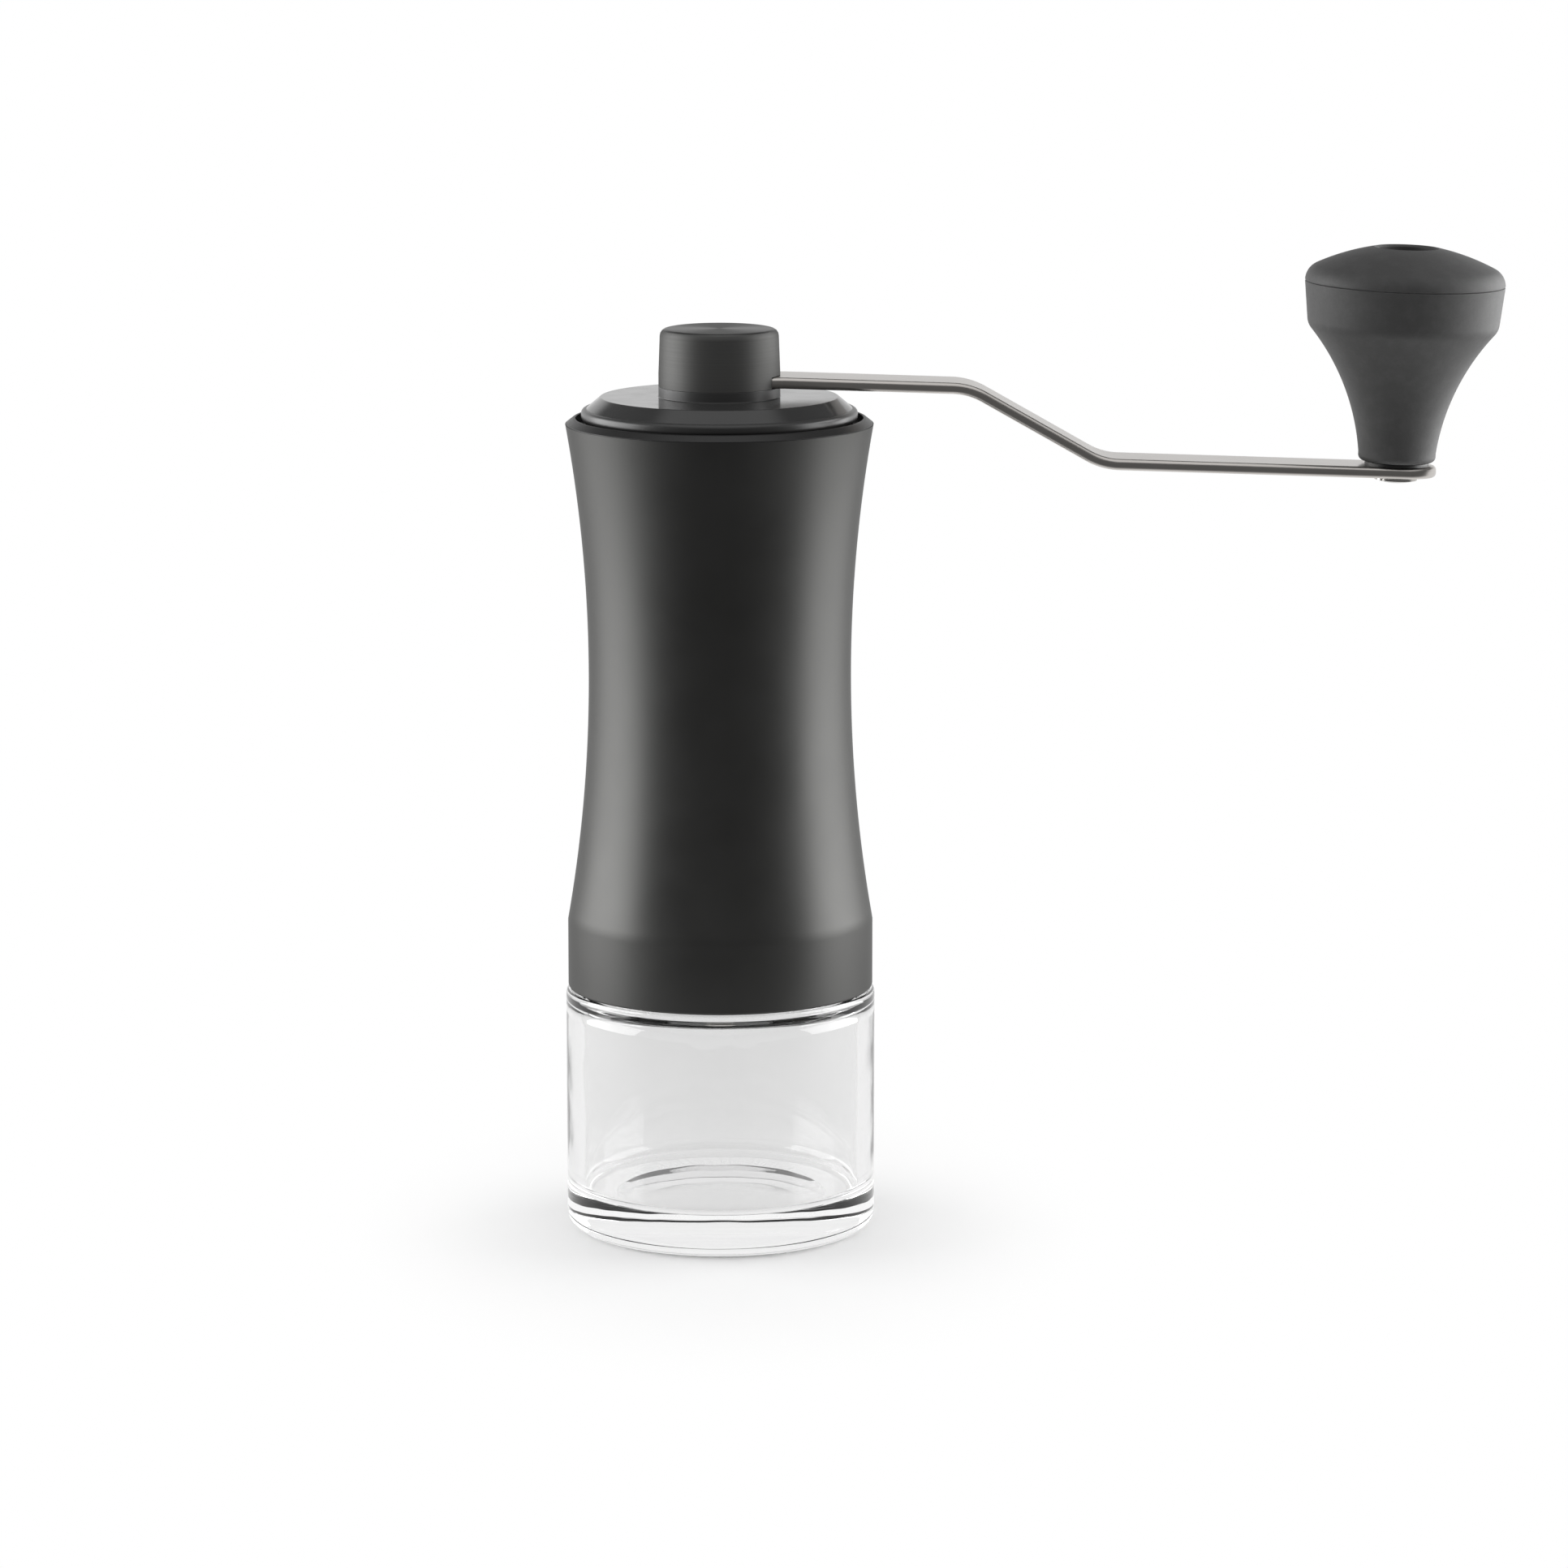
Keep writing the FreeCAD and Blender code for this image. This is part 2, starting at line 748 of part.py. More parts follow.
def upper_bush():
    """A bush whose flange bears on top of the upper bridge's hub."""
    bore = s.shaft_radius + s.running_gap
    length = s.bridge_hub_height
    body = turned("upper_bush", [
        (bore, 0.0),
        (s.bush_radius, 0.0),
        (s.bush_radius, length),
        (s.bush_flange, length),
        (s.bush_flange, length + s.bush_flange_thickness),
        (bore, length + s.bush_flange_thickness),
    ])
    return place(body, z=bridge_low - s.bridge_hub_drop)


def lower_bush():
    """A bush whose flange bears under the lower bridge's hub."""
    bore = s.shaft_radius + s.running_gap
    flange = s.bush_flange_thickness
    body = turned("lower_bush", [
        (bore, 0.0),
        (s.bush_flange, 0.0),
        (s.bush_flange, flange),
        (s.bush_radius, flange),
        (s.bush_radius, flange + s.hub_height),
        (bore, flange + s.hub_height),
    ])
    return place(body, z=hub_low - flange)


# Burrs

def tooth_notch(body, height, open_radius, tip_radius, half_width, skew):
    """A triangle in plan, open at one radius and pointed at the other, turned by the skew."""
    sketch = new_sketch(body, "XY_Plane", height)
    across, along = sine(skew), cosine(skew)
    corners = [(open_radius, -half_width), (open_radius, half_width), (tip_radius, ZERO)]
    turned_corners = [(x * along - y * across, x * across + y * along) for x, y in corners]
    return draw(sketch, turned_corners)


def outer_burr():
    waist = burr_throat - s.burr_taper
    body = turned("outer_burr", [
        (burr_throat, 0.0),
        (burr_radius, 0.0),
        (burr_radius, s.burr_height),
        (burr_mouth, s.burr_height),
        (waist, s.burr_land),
    ])
    opening = s.outer_tooth_depth * 2.0
    half = s.outer_tooth_half
    low = tooth_notch(body, ZERO, burr_throat - opening, burr_throat + s.outer_tooth_depth, half, ZERO)
    tip = burr_mouth + s.outer_tooth_depth * HALF
    high = tooth_notch(body, s.burr_height, burr_mouth - opening, tip, half, s.burr_skew)
    polar(body, [loft_cut(body, low, high)], s.outer_teeth)
    return place(body, z=burr_low)


def inner_burr():
    height = inner_burr_high - inner_burr_low
    widest = burr_throat - s.burr_gap
    land_top = s.inner_burr_drop + s.burr_land
    pocket_floor = height - s.spring_pocket_depth
    body = turned("inner_burr", [
        (s.carrier_hub_radius + s.press_gap, 0.0),
        (widest, 0.0),
        (widest, s.inner_burr_drop),
        (widest - s.burr_taper, land_top),
        (s.inner_burr_top, height),
        (s.spring_pocket_radius, height),
        (s.spring_pocket_radius, pocket_floor),
        (s.carrier_hub_radius + s.press_gap, pocket_floor),
    ])
    half = s.inner_tooth_half
    opening = s.inner_tooth_opening
    low = tooth_notch(body, ZERO, widest + opening, widest - s.inner_tooth_depth, half, ZERO)
    tip = s.inner_burr_top - s.inner_tooth_depth * HALF
    high = tooth_notch(body, height, s.inner_burr_top + opening, tip, half * HALF, s.burr_skew)
    polar(body, [loft_cut(body, low, high)], s.inner_teeth)
    return place(body, z=inner_burr_low)


def burr_clamp_ring():
    outer = thread_bore - s.clamp_gap
    body = turned("burr_clamp_ring", ring(clamp_bore, outer, 0.0, s.clamp_thickness))
    hole = new_sketch(body, "XY_Plane", s.clamp_thickness)
    draw_circle(hole, clamp_screw_ring, 0.0, s.clamp_screw_radius + s.screw_gap)
    through = pocket(body, hole, s.clamp_thickness)
    seat = new_sketch(body, "XY_Plane", s.clamp_head_height)
    draw_circle(seat, clamp_screw_ring, 0.0, s.clamp_head_radius + s.screw_gap)
    polar(body, [through, pocket(body, seat, s.clamp_head_height)], s.rib_count)
    return place(body, z=clamp_low)


def clamp_screws():
    middle = clamp_screw_ring
    body = new_body("clamp_screws")
    screw = revolve(body, [
        (middle, 0.0),
        (middle + s.clamp_head_radius, 0.0),
        (middle + s.clamp_head_radius, s.clamp_head_height),
        (middle + s.clamp_screw_radius, s.clamp_head_height),
        (middle + s.clamp_screw_radius, s.clamp_screw_length),
        (middle, s.clamp_screw_length),
    ], axis_x=middle)
    polar(body, [screw], s.rib_count)
    return place(body, z=clamp_low)


# The shaft and what turns on it

def drive_shaft():
    low = nut_low - s.shaft_tip
    tip = shaft_thread_radius - s.shaft_chamfer
    body = turned("drive_shaft", [
        (0.0, low),
        (tip, low),
        (shaft_thread_radius, low + s.shaft_chamfer),
        (shaft_thread_radius, click_low),
        (s.shaft_radius, click_low),
        (s.shaft_radius, clip_low),
        (s.clip_groove_radius, clip_low),
        (s.clip_groove_radius, clip_low + s.clip_thickness),
        (s.shaft_radius, clip_low + s.clip_thickness),
        (s.shaft_radius, hex_low),
        (0.0, hex_low),
    ])
    flat_top = spring_seat + s.spring_pocket_depth * HALF
    beyond = s.shaft_radius + s.shaft_chamfer
    half = s.shaft_flats * HALF
    for side in (1.0, -1.0):
        sketch = new_sketch(body, "XY_Plane", flat_top)
        draw(sketch, [
            (half * side, -beyond),
            (half * side, beyond),
            (beyond * side, beyond),
            (beyond * side, -beyond),
        ])
        pocket(body, sketch, flat_top - click_low)
    pad(body, draw(new_sketch(body, "XY_Plane", hex_low), hexagon(s.hex_flats)), s.hex_length)
    return place(body)


def shaft_clip():
    bore = s.clip_groove_radius + s.press_gap
    body = turned("shaft_clip", ring(bore, s.clip_radius, 0.0, s.clip_thickness))
    half = s.clip_mouth * HALF
    mouth = new_sketch(body, "XY_Plane", s.clip_thickness)
    draw(mouth, [(ZERO, -half), (s.clip_radius * 2.0, -half), (s.clip_radius * 2.0, half), (ZERO, half)])
    pocket(body, mouth, s.clip_thickness)
    return place(body, z=clip_low)


def thrust_washer():
    bore = s.shaft_radius + s.washer_bore_gap
    body = turned("thrust_washer", ring(bore, s.washer_radius, 0.0, s.washer_thickness))
    return place(body, z=washer_low)


def biarc(start, start_way, stop, stop_way):
    """Two arcs that leave start and reach stop along the given directions."""
    span = stop - start
    ways = start_way + stop_way
    square = 2.0 * (1.0 - start_way.dot(stop_way))
    slope = 2.0 * span.dot(ways)
    reach = (-slope + math.sqrt(slope**2 + 4.0 * square * span.dot(span))) / (2.0 * square)
    first_corner = start + start_way * reach
    last_corner = stop - stop_way * reach
    joint = (first_corner + last_corner) * HALF
    edges = []
    for begin, corner, end in ((start, first_corner, joint), (joint, last_corner, stop)):
        middle = (begin + end) * HALF
        half_chord = (end - begin).Length * HALF
        height = (corner - middle).Length
        sagitta = half_chord * math.tan(math.atan2(height, half_chord) * HALF)
        through = middle + (corner - middle).normalize() * sagitta
        edges.append(Part.Arc(begin, through, end).toShape())
    return edges


def burr_spring():
    """One unbroken wire wound round the shaft between the thrust washer and the burr carrier."""
    wire, radius, turns = s.spring_wire.value, s.spring_radius.value, s.spring_turns.value
    low = spring_seat.value + s.spring_end_gap.value + wire
    rise = washer_low.value - s.spring_end_gap.value - wire - low
    steps = round(turns * ARCS_PER_TURN)

    def point(turn):
        angle = 2.0 * math.pi * turn
        return FreeCAD.Vector(radius * math.cos(angle), radius * math.sin(angle), rise * turn / turns)

    def way(turn):
        angle = 2.0 * math.pi * turn
        around = 2.0 * math.pi * radius
        return FreeCAD.Vector(-around * math.sin(angle), around * math.cos(angle), rise / turns).normalize()

    stations = [turns * step / steps for step in range(steps + 1)]
    edges = []
    for here, following in zip(stations, stations[1:]):
        edges += biarc(point(here), way(here), point(following), way(following))
    section = Part.Wire([Part.Circle(point(0.0), way(0.0), wire).toShape()])
    tube = Part.Wire(edges).makePipeShell([section], True, False)
    checks = steps * CHECKS_PER_ARC
    samples = [turns * check / checks for check in range(checks + 1)]
    gaps = [
        (point(a) - point(b)).Length - 2.0 * wire for a in samples for b in samples if b - a > HALF
    ]
    print(f"burr_spring: least gap between turns {min(gaps):.2f} mm")
    spring = document.addObject("Part::Feature", "burr_spring")
    spring.Label = "burr_spring"
    spring.Shape = tube
    spring.Placement = FreeCAD.Placement(FreeCAD.Vector(0, 0, low), FreeCAD.Rotation())
    pieces.append(spring)
    return spring


def burr_carrier():
    hub_top = spring_seat - carrier_low
    body = turned("burr_carrier", [
        (0.0, 0.0),
        (s.carrier_radius, 0.0),
        (s.carrier_radius, s.carrier_thickness),
        (s.carrier_hub_radius, s.carrier_thickness),
        (s.carrier_hub_radius, hub_top),
        (0.0, hub_top),
    ])
    bore = two_flats(s.shaft_radius + s.slide_gap, s.shaft_flats + s.slide_gap * 2.0)
    pocket(body, draw(new_sketch(body, "XY_Plane", hub_top), bore), hub_top)
    return place(body, z=carrier_low)


def click_plate():
    body = new_body("click_plate")
    pad(body, draw_circle(new_sketch(body, "XY_Plane"), 0.0, 0.0, s.click_radius), s.click_thickness)
    bore = two_flats(s.shaft_radius + s.slide_gap, s.shaft_flats + s.slide_gap * 2.0)
    pocket(body, draw(new_sketch(body, "XY_Plane", s.click_thickness), bore), s.click_thickness)
    dimple = draw_circle(new_sketch(body, "XY_Plane", s.click_depth), s.click_ring, 0.0, s.click_dimple)
    polar(body, [pocket(body, dimple, s.click_depth)], s.click_count)
    return place(body, z=click_low)


def adjusting_nut():
    bore = shaft_thread_radius + s.running_gap
    body = turned("adjusting_nut", ring(bore, s.nut_radius, 0.0, s.nut_height))
    sketch = new_sketch(body, "XY_Plane", s.nut_height)
    flute = draw_circle(sketch, s.nut_flute_ring, 0.0, s.nut_flute_radius)
    polar(body, [pocket(body, flute, s.nut_height)], s.nut_flutes)
    return place(body, z=nut_low)


# The crank: lid, hub, arm and knob

def hub_screw_holes(body, top, radius, depth):
    """A hole on each side of the arm for the two hub screws."""
    for side in (1.0, -1.0):
        sketch = new_sketch(body, "XY_Plane", top)
        pocket(body, draw_circle(sketch, 0.0, s.hub_screw_offset * side, radius), depth)


def lid():
    bore = s.hex_flats * HEX_CORNER + s.boss_bore_gap
    skirt_outer = bridge_seat_radius - s.lid_skirt_gap
    skirt_inner = skirt_outer - s.lid_skirt_wall
    under = lid_under - lid_low
    top = lid_top - lid_low
    body = turned("lid", [
        (bore, under),
        (skirt_inner, under),
        (skirt_inner, -s.lid_skirt_depth),
        (skirt_outer, -s.lid_skirt_depth),
        (skirt_outer, 0.0),
        (lid_radius, 0.0),
        (lid_radius, s.lid_lip),
        (lid_top_radius, top),
        (s.boss_radius, top),
        (s.boss_radius, top + s.boss_height),
        (bore, top + s.boss_height),
    ])
    depth = s.boss_height + s.lid_plate
    hub_screw_holes(body, top + s.boss_height, s.hub_screw_radius + s.screw_gap, depth)
    return place(body, z=lid_low)


def hub_cap():
    edge = s.cap_edge
    body = turned("hub_cap", [
        (0.0, 0.0),
        (s.boss_radius, 0.0),
        (s.cap_top_radius, s.cap_height - edge, edge, LEFT),
        (s.cap_top_radius - edge, s.cap_height),
        (0.0, s.cap_height),
    ])
    half = s.arm_width * HALF + s.slot_gap
    tail = s.arm_tail + s.slot_gap
    beyond = s.boss_radius * 2.0
    slot = new_sketch(body, "XY_Plane", s.arm_thickness + s.press_gap)
    draw(slot, [(-tail, -half), (beyond, -half), (beyond, half), (-tail, half)])
    pocket(body, slot, s.arm_thickness + s.press_gap)
    socket = s.arm_thickness + s.cap_socket
    pocket(body, draw(new_sketch(body, "XY_Plane", socket), hexagon(hex_hole)), socket)
    reach = s.arm_thickness + s.hub_screw_reach
    hub_screw_holes(body, reach, s.hub_screw_radius + s.press_gap, reach)
    return place(body, z=boss_top)


def hub_screws():
    length = boss_top - lid_under + s.arm_thickness + s.hub_screw_reach
    middle = s.hub_screw_offset
    body = new_body("hub_screws")
    screw = revolve(body, [
        (middle, -s.hub_head_height),
        (middle + s.hub_head_radius, -s.hub_head_height),
        (middle + s.hub_head_radius, ZERO),
        (middle + s.hub_screw_radius, ZERO),
        (middle + s.hub_screw_radius, length),
        (middle, length),
    ], axis_x=middle)
    polar(body, [screw], as_size(HUB_SCREWS))
    place(body, z=lid_under)
    body.Placement.Rotation = FreeCAD.Rotation(FreeCAD.Vector(0, 0, 1), QUARTER_TURN)
    document.recompute()
    return body


def arm_end_cut(body, centre, tip, way):
    """Cut away what lies outside the full round end of the arm."""
    half = s.arm_width * HALF
    radius = (tip - centre) * way
    wide = s.arm_width
    past = tip + as_size(way)
    turn = LEFT if way > 0 else RIGHT
    sketch = new_sketch(body, "XY_Plane", s.arm_thickness)
    draw(sketch, [
        (past, -wide),
        (centre, -wide),
        (centre, -half, radius, turn),
        (tip, ZERO, radius, turn),
        (centre, half),
        (centre, wide),
        (past, wide),
    ])
    feature = add_feature(body, "Pocket", sketch)
    feature.Type = "ThroughAll"
    feature.SideType = "Symmetric"
    settle(body, feature, True)


def is_rim(edge, half, end_centre):
    """Whether an edge of the bar runs along its sides or round one of its ends."""
    box = edge.BoundBox
    upright = max(box.XLength, box.YLength) < half.value * EDGE_MARGIN
    middle = edge.valueAt((edge.FirstParameter + edge.LastParameter) * HALF)
    centre = min(max(middle.x, half.value - s.arm_tail.value), end_centre.value)
    reach = math.hypot(middle.x - centre, middle.y)
    return not upright and reach > half.value * (1.0 - EDGE_MARGIN)


def crank_arm():
    """A flat bar with two bends, drawn as a path along the middle of its thickness."""
    droop, steep, radius = s.arm_droop, s.arm_bend_angle, s.arm_bend_radius
    setback = radius * tangent((steep - droop) * HALF)
    tip = s.arm_reach + s.arm_overhang
    bend_one = (s.arm_bend_start, -first_drop)
    bend_two = (s.arm_bend_end, -first_drop - bend_drop)
    body = new_body("crank_arm")
    path = new_sketch(body, "XZ_Plane")
    draw(path, [
        (-s.arm_tail, ZERO),
        (s.arm_droop_start, ZERO),
        (bend_one[0] - setback * cosine(droop), bend_one[1] + setback * sine(droop), radius, RIGHT),
        (bend_one[0] + setback * cosine(steep), bend_one[1] - setback * sine(steep)),
        (bend_two[0] - setback * cosine(steep), bend_two[1] + setback * sine(steep), radius, LEFT),
        (bend_two[0] + setback * cosine(droop), bend_two[1] - setback * sine(droop)),
        (tip, bend_two[1] - (tip - s.arm_bend_end) * tangent(droop)),
    ], closed=False)
    half = s.arm_width * HALF
    thick = s.arm_thickness * HALF
    section = new_sketch(body, "YZ_Plane", -s.arm_tail)
    draw(section, [(-half, -thick), (half, -thick), (half, thick), (-half, thick)])
    bar = add_feature(body, "AdditivePipe", section)
    bar.Spine = path
    settle(body, bar, False)
    arm_end_cut(body, half - s.arm_tail, -s.arm_tail, -1)
    arm_end_cut(body, tip - half, tip, 1)
    pocket(body, draw(new_sketch(body, "XY_Plane", thick), hexagon(hex_hole)), s.arm_thickness)
    spindle_hole = new_sketch(body, "XY_Plane", thick)
    draw_circle(spindle_hole, s.arm_reach, 0.0, s.spindle_tail_radius + s.screw_gap)
    feature = add_feature(body, "Pocket", spindle_hole)
    feature.Type = "ThroughAll"
    settle(body, feature, True)
    round_edges(body, s.arm_edge, lambda edge: is_rim(edge, half, tip - half))
    return place(body, z=arm_middle)


def stand_on_arm(body, lift=ZERO):
    """Stand a piece of the knob on the arm's top face, square to it."""
    x = knob_seat_x + lift * sine(s.arm_droop)
    z = knob_seat_z + lift * cosine(s.arm_droop)
    return place(body, x, z, s.arm_droop)


def knob_spindle():
    """A rivet: its formed head is under the arm and its upper head keeps the knob on."""
    head_low = recess_floor + s.spindle_head_gap
    under = -s.arm_thickness
    rise = s.rivet_dome_rise
    dome = (s.rivet_radius * s.rivet_radius + rise * rise) / (rise * 2.0)
    body = turned("knob_spindle", [
        (0.0, under - s.rivet_height, dome, LEFT),
        (s.rivet_radius, under - s.rivet_height + rise),
        (s.rivet_radius, under - s.rivet_flange),
        (s.rivet_flange_radius, under - s.rivet_flange),
        (s.rivet_flange_radius, under),
        (s.spindle_tail_radius, under),
        (s.spindle_tail_radius, ZERO),
        (s.spindle_radius, ZERO),
        (s.spindle_radius, head_low),
        (s.spindle_head_radius, head_low),
        (s.spindle_head_radius, head_low + s.spindle_head_height),
        (0.0, head_low + s.spindle_head_height),
    ])
    return stand_on_arm(body)


def knob_washer():
    bore = s.spindle_radius + s.running_gap
    thickness = s.knob_washer_thickness - s.clip_gap
    return stand_on_arm(turned("knob_washer", ring(bore, s.knob_washer_radius, 0.0, thickness)))


def knob_bush():
    bore = s.spindle_radius + s.running_gap
    length = recess_floor - s.knob_washer_thickness
    body = turned("knob_bush", ring(bore, s.knob_bush_radius, 0.0, length))
    return stand_on_arm(body, s.knob_washer_thickness)


def knob_body():
    bore = s.knob_bush_radius + s.press_gap
    floor = s.knob_seam_height - s.knob_recess_depth
    edge = s.knob_neck_edge
    body = turned("knob_body", [
        (bore, 0.0),
        (s.knob_neck_radius - edge, 0.0, edge, LEFT),
        (s.knob_neck_radius, edge),
        (s.knob_neck_radius, s.knob_neck_top, s.knob_flare, RIGHT),
        (s.knob_shoulder_radius, s.knob_shoulder_height, s.knob_shoulder_bend, LEFT),
        (s.knob_band_radius, s.knob_band_height),
        (s.knob_radius, s.knob_seam_height),
        (s.knob_recess_radius, s.knob_seam_height),
        (s.knob_recess_radius, floor),
        (bore, floor),
    ])
    return stand_on_arm(body, s.knob_washer_thickness)


def knob_cap():
    spigot = s.knob_recess_radius - s.knob_cap_gap
    cavity = spigot - s.knob_cap_wall
    edge = s.knob_hole_edge
    body = turned("knob_cap", [
        (spigot, 0.0),
        (s.knob_radius, 0.0, s.knob_cap_edge, LEFT),
        (s.knob_radius - s.knob_cap_edge_inset, s.knob_cap_edge_height, s.knob_cap_crown, LEFT),
        (s.knob_hole_radius + edge, s.knob_cap_height),
        (s.knob_hole_radius, s.knob_cap_height - edge),
        (s.knob_hole_radius, s.knob_cap_height - s.knob_cap_ceiling),
        (cavity, s.knob_cap_height - s.knob_cap_ceiling),
        (cavity, s.knob_cap_gap - s.knob_recess_depth),
        (spigot, s.knob_cap_gap - s.knob_recess_depth),
    ])
    return stand_on_arm(body, knob_seam)


SUB_PARTS = (
    glass_jar, jar_seal, body_sleeve, hopper, burr_housing, upper_bridge, upper_bush, lower_bush,
    outer_burr, burr_clamp_ring, clamp_screws, drive_shaft, shaft_clip, thrust_washer, burr_spring,
    inner_burr, burr_carrier, click_plate, adjusting_nut, lid, hub_cap, hub_screws, crank_arm,
    knob_spindle, knob_washer, knob_bush, knob_body, knob_cap,
)


def check_document():
    """Refuse to write anything from a document with a failed object or a bad shape."""
    document.recompute()
    failed = [o.Name for o in document.Objects if {"Invalid", "Error"} & set(o.State)]
    failed += [p.Label for p in pieces if p.Shape.isNull() or not p.Shape.isValid()]
    if failed:
        raise RuntimeError(f"failed objects: {failed}")


def main():
    for build in SUB_PARTS:
        build()
    check_document()
    os.makedirs("parts", exist_ok=True)
    for piece in pieces:
        piece.Shape.exportStep(f"parts/{piece.Label}.step")
    print(f"{len(pieces)} sub-parts written")


main()
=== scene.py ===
import bmesh
import bpy
import json
import math
from bpy.props import FloatProperty, FloatVectorProperty, PointerProperty
from functools import partial
from mathutils import Matrix, Vector


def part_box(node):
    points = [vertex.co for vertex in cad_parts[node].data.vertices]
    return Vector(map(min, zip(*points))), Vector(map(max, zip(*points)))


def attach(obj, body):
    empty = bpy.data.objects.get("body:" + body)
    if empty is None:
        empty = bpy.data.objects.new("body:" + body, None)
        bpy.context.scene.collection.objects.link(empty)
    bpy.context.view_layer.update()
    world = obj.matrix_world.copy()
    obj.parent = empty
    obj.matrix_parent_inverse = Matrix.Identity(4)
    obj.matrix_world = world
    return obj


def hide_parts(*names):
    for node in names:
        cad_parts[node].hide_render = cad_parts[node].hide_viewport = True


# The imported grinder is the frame: metres, +Z up, the crank arm along +X.
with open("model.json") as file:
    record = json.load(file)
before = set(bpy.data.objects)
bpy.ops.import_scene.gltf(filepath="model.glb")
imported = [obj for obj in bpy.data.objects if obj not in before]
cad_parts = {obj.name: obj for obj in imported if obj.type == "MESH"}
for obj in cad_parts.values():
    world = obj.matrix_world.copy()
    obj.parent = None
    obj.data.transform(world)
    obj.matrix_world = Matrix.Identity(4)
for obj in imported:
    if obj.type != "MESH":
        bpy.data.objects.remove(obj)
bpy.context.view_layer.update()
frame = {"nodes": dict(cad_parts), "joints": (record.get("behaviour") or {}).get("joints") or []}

bl_info = {
    "name": "Hand crank coffee grinder",
    "version": (1, 0, 0),
    "blender": (4, 5, 0),
    "location": "View3D > Sidebar > Grinder",
    "description": "Dresses the grinder's solids with finished shapes and materials",
    "category": "Object",
}

MM = 0.001
UP = (0.0, 0.0, 1.0)
WHITE = (1.0, 1.0, 1.0, 1.0)
TURN_STEPS = 160
CORNER_STEPS = 4
SHARP_ANGLE = math.radians(38.0)
# Points closer than the first are one point; edges that are meant to meet lie within the second.
TINY = 1e-7
WELD = 2e-6
RIGHT_BOX = "right softbox"
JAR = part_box("glass_jar")
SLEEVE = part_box("body_sleeve")
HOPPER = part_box("hopper")
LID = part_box("lid")
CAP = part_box("hub_cap")
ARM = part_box("crank_arm")
KNOB_JOINT = next(joint for joint in frame["joints"] if joint["name"] == "knob_spin")


# Properties

def linear(hex_text):
    """An sRGB hex colour as linear red, green, blue and alpha."""
    channels = []
    for start in (1, 3, 5):
        value = int(hex_text[start:start + 2], 16) / 255.0
        if value <= 0.04045:
            channels.append(value / 12.92)
        else:
            channels.append(((value + 0.055) / 1.055) ** 2.4)
    return (*channels, 1.0)


def length(label, words, value):
    """A length property in metres."""
    return FloatProperty(name=label, description=words, default=value, min=0.0, precision=5, unit="LENGTH")


def angle(label, words, degrees):
    """An angle property, given in degrees."""
    return FloatProperty(name=label, description=words, default=math.radians(degrees), subtype="ANGLE")


def number(label, words, value, unit="NONE"):
    """A number that may be negative, with a unit where one fits."""
    return FloatProperty(name=label, description=words, default=value, precision=4, unit=unit)


def share(label, words, value):
    """A property that goes from nothing to all."""
    return FloatProperty(name=label, description=words, default=value, min=0.0, max=1.0, subtype="FACTOR")


def colour(label, words, hex_text):
    """A colour property, given in sRGB hex."""
    return FloatVectorProperty(
        name=label, description=words, default=linear(hex_text), size=4, min=0.0, max=1.0, subtype="COLOR"
    )


class JarSizes(bpy.types.PropertyGroup):
    radius: length("Radius", "Outer radius of the jar", JAR[1].x)
    shoulder: length("Shoulder", "Height of the shoulder under the collar", JAR[1].z - 8.4 * MM)
    wall: length("Wall", "Thickness of the side wall", 3.0 * MM)
    floor: length("Floor", "Height of the inner floor", 7.2 * MM)
    heel: length("Heel", "Rounding at the foot", 3.0 * MM)
    inner_heel: length("Inner heel", "Rounding between inner wall and floor", 2.2 * MM)
    edge: length("Shoulder edge", "Rounding of the shoulder", 1.0 * MM)
    foot_radius: length("Foot radius", "Radius of the hollow under the foot", 19.0 * MM)
    foot_recess: length("Foot recess", "Depth of the hollow under the foot", 1.2 * MM)
    neck_radius: length("Neck radius", "Outer radius of the neck", 22.2 * MM)
    neck_wall: length("Neck wall", "Thickness of the neck", 2.7 * MM)
    neck_edge: length("Neck edge", "Rounding of the neck's lip", 0.6 * MM)
    neck_top: length("Neck top", "Height of the neck's lip", JAR[1].z)
    thread_lead: length("Thread lead", "Rise of the thread in one turn", 5.0 * MM)
    thread_depth: length("Thread depth", "How far the thread stands out", 1.2 * MM)
    thread_root: length("Thread root", "Width of the thread at the neck", 2.0 * MM)
    thread_crest: length("Thread crest", "Width of the thread at its crest", 0.8 * MM)
    thread_lift: length("Thread lift", "Start of the thread above the shoulder", 1.4 * MM)
    thread_sink: length("Thread sink", "How far the thread is rooted in the neck", 0.3 * MM)


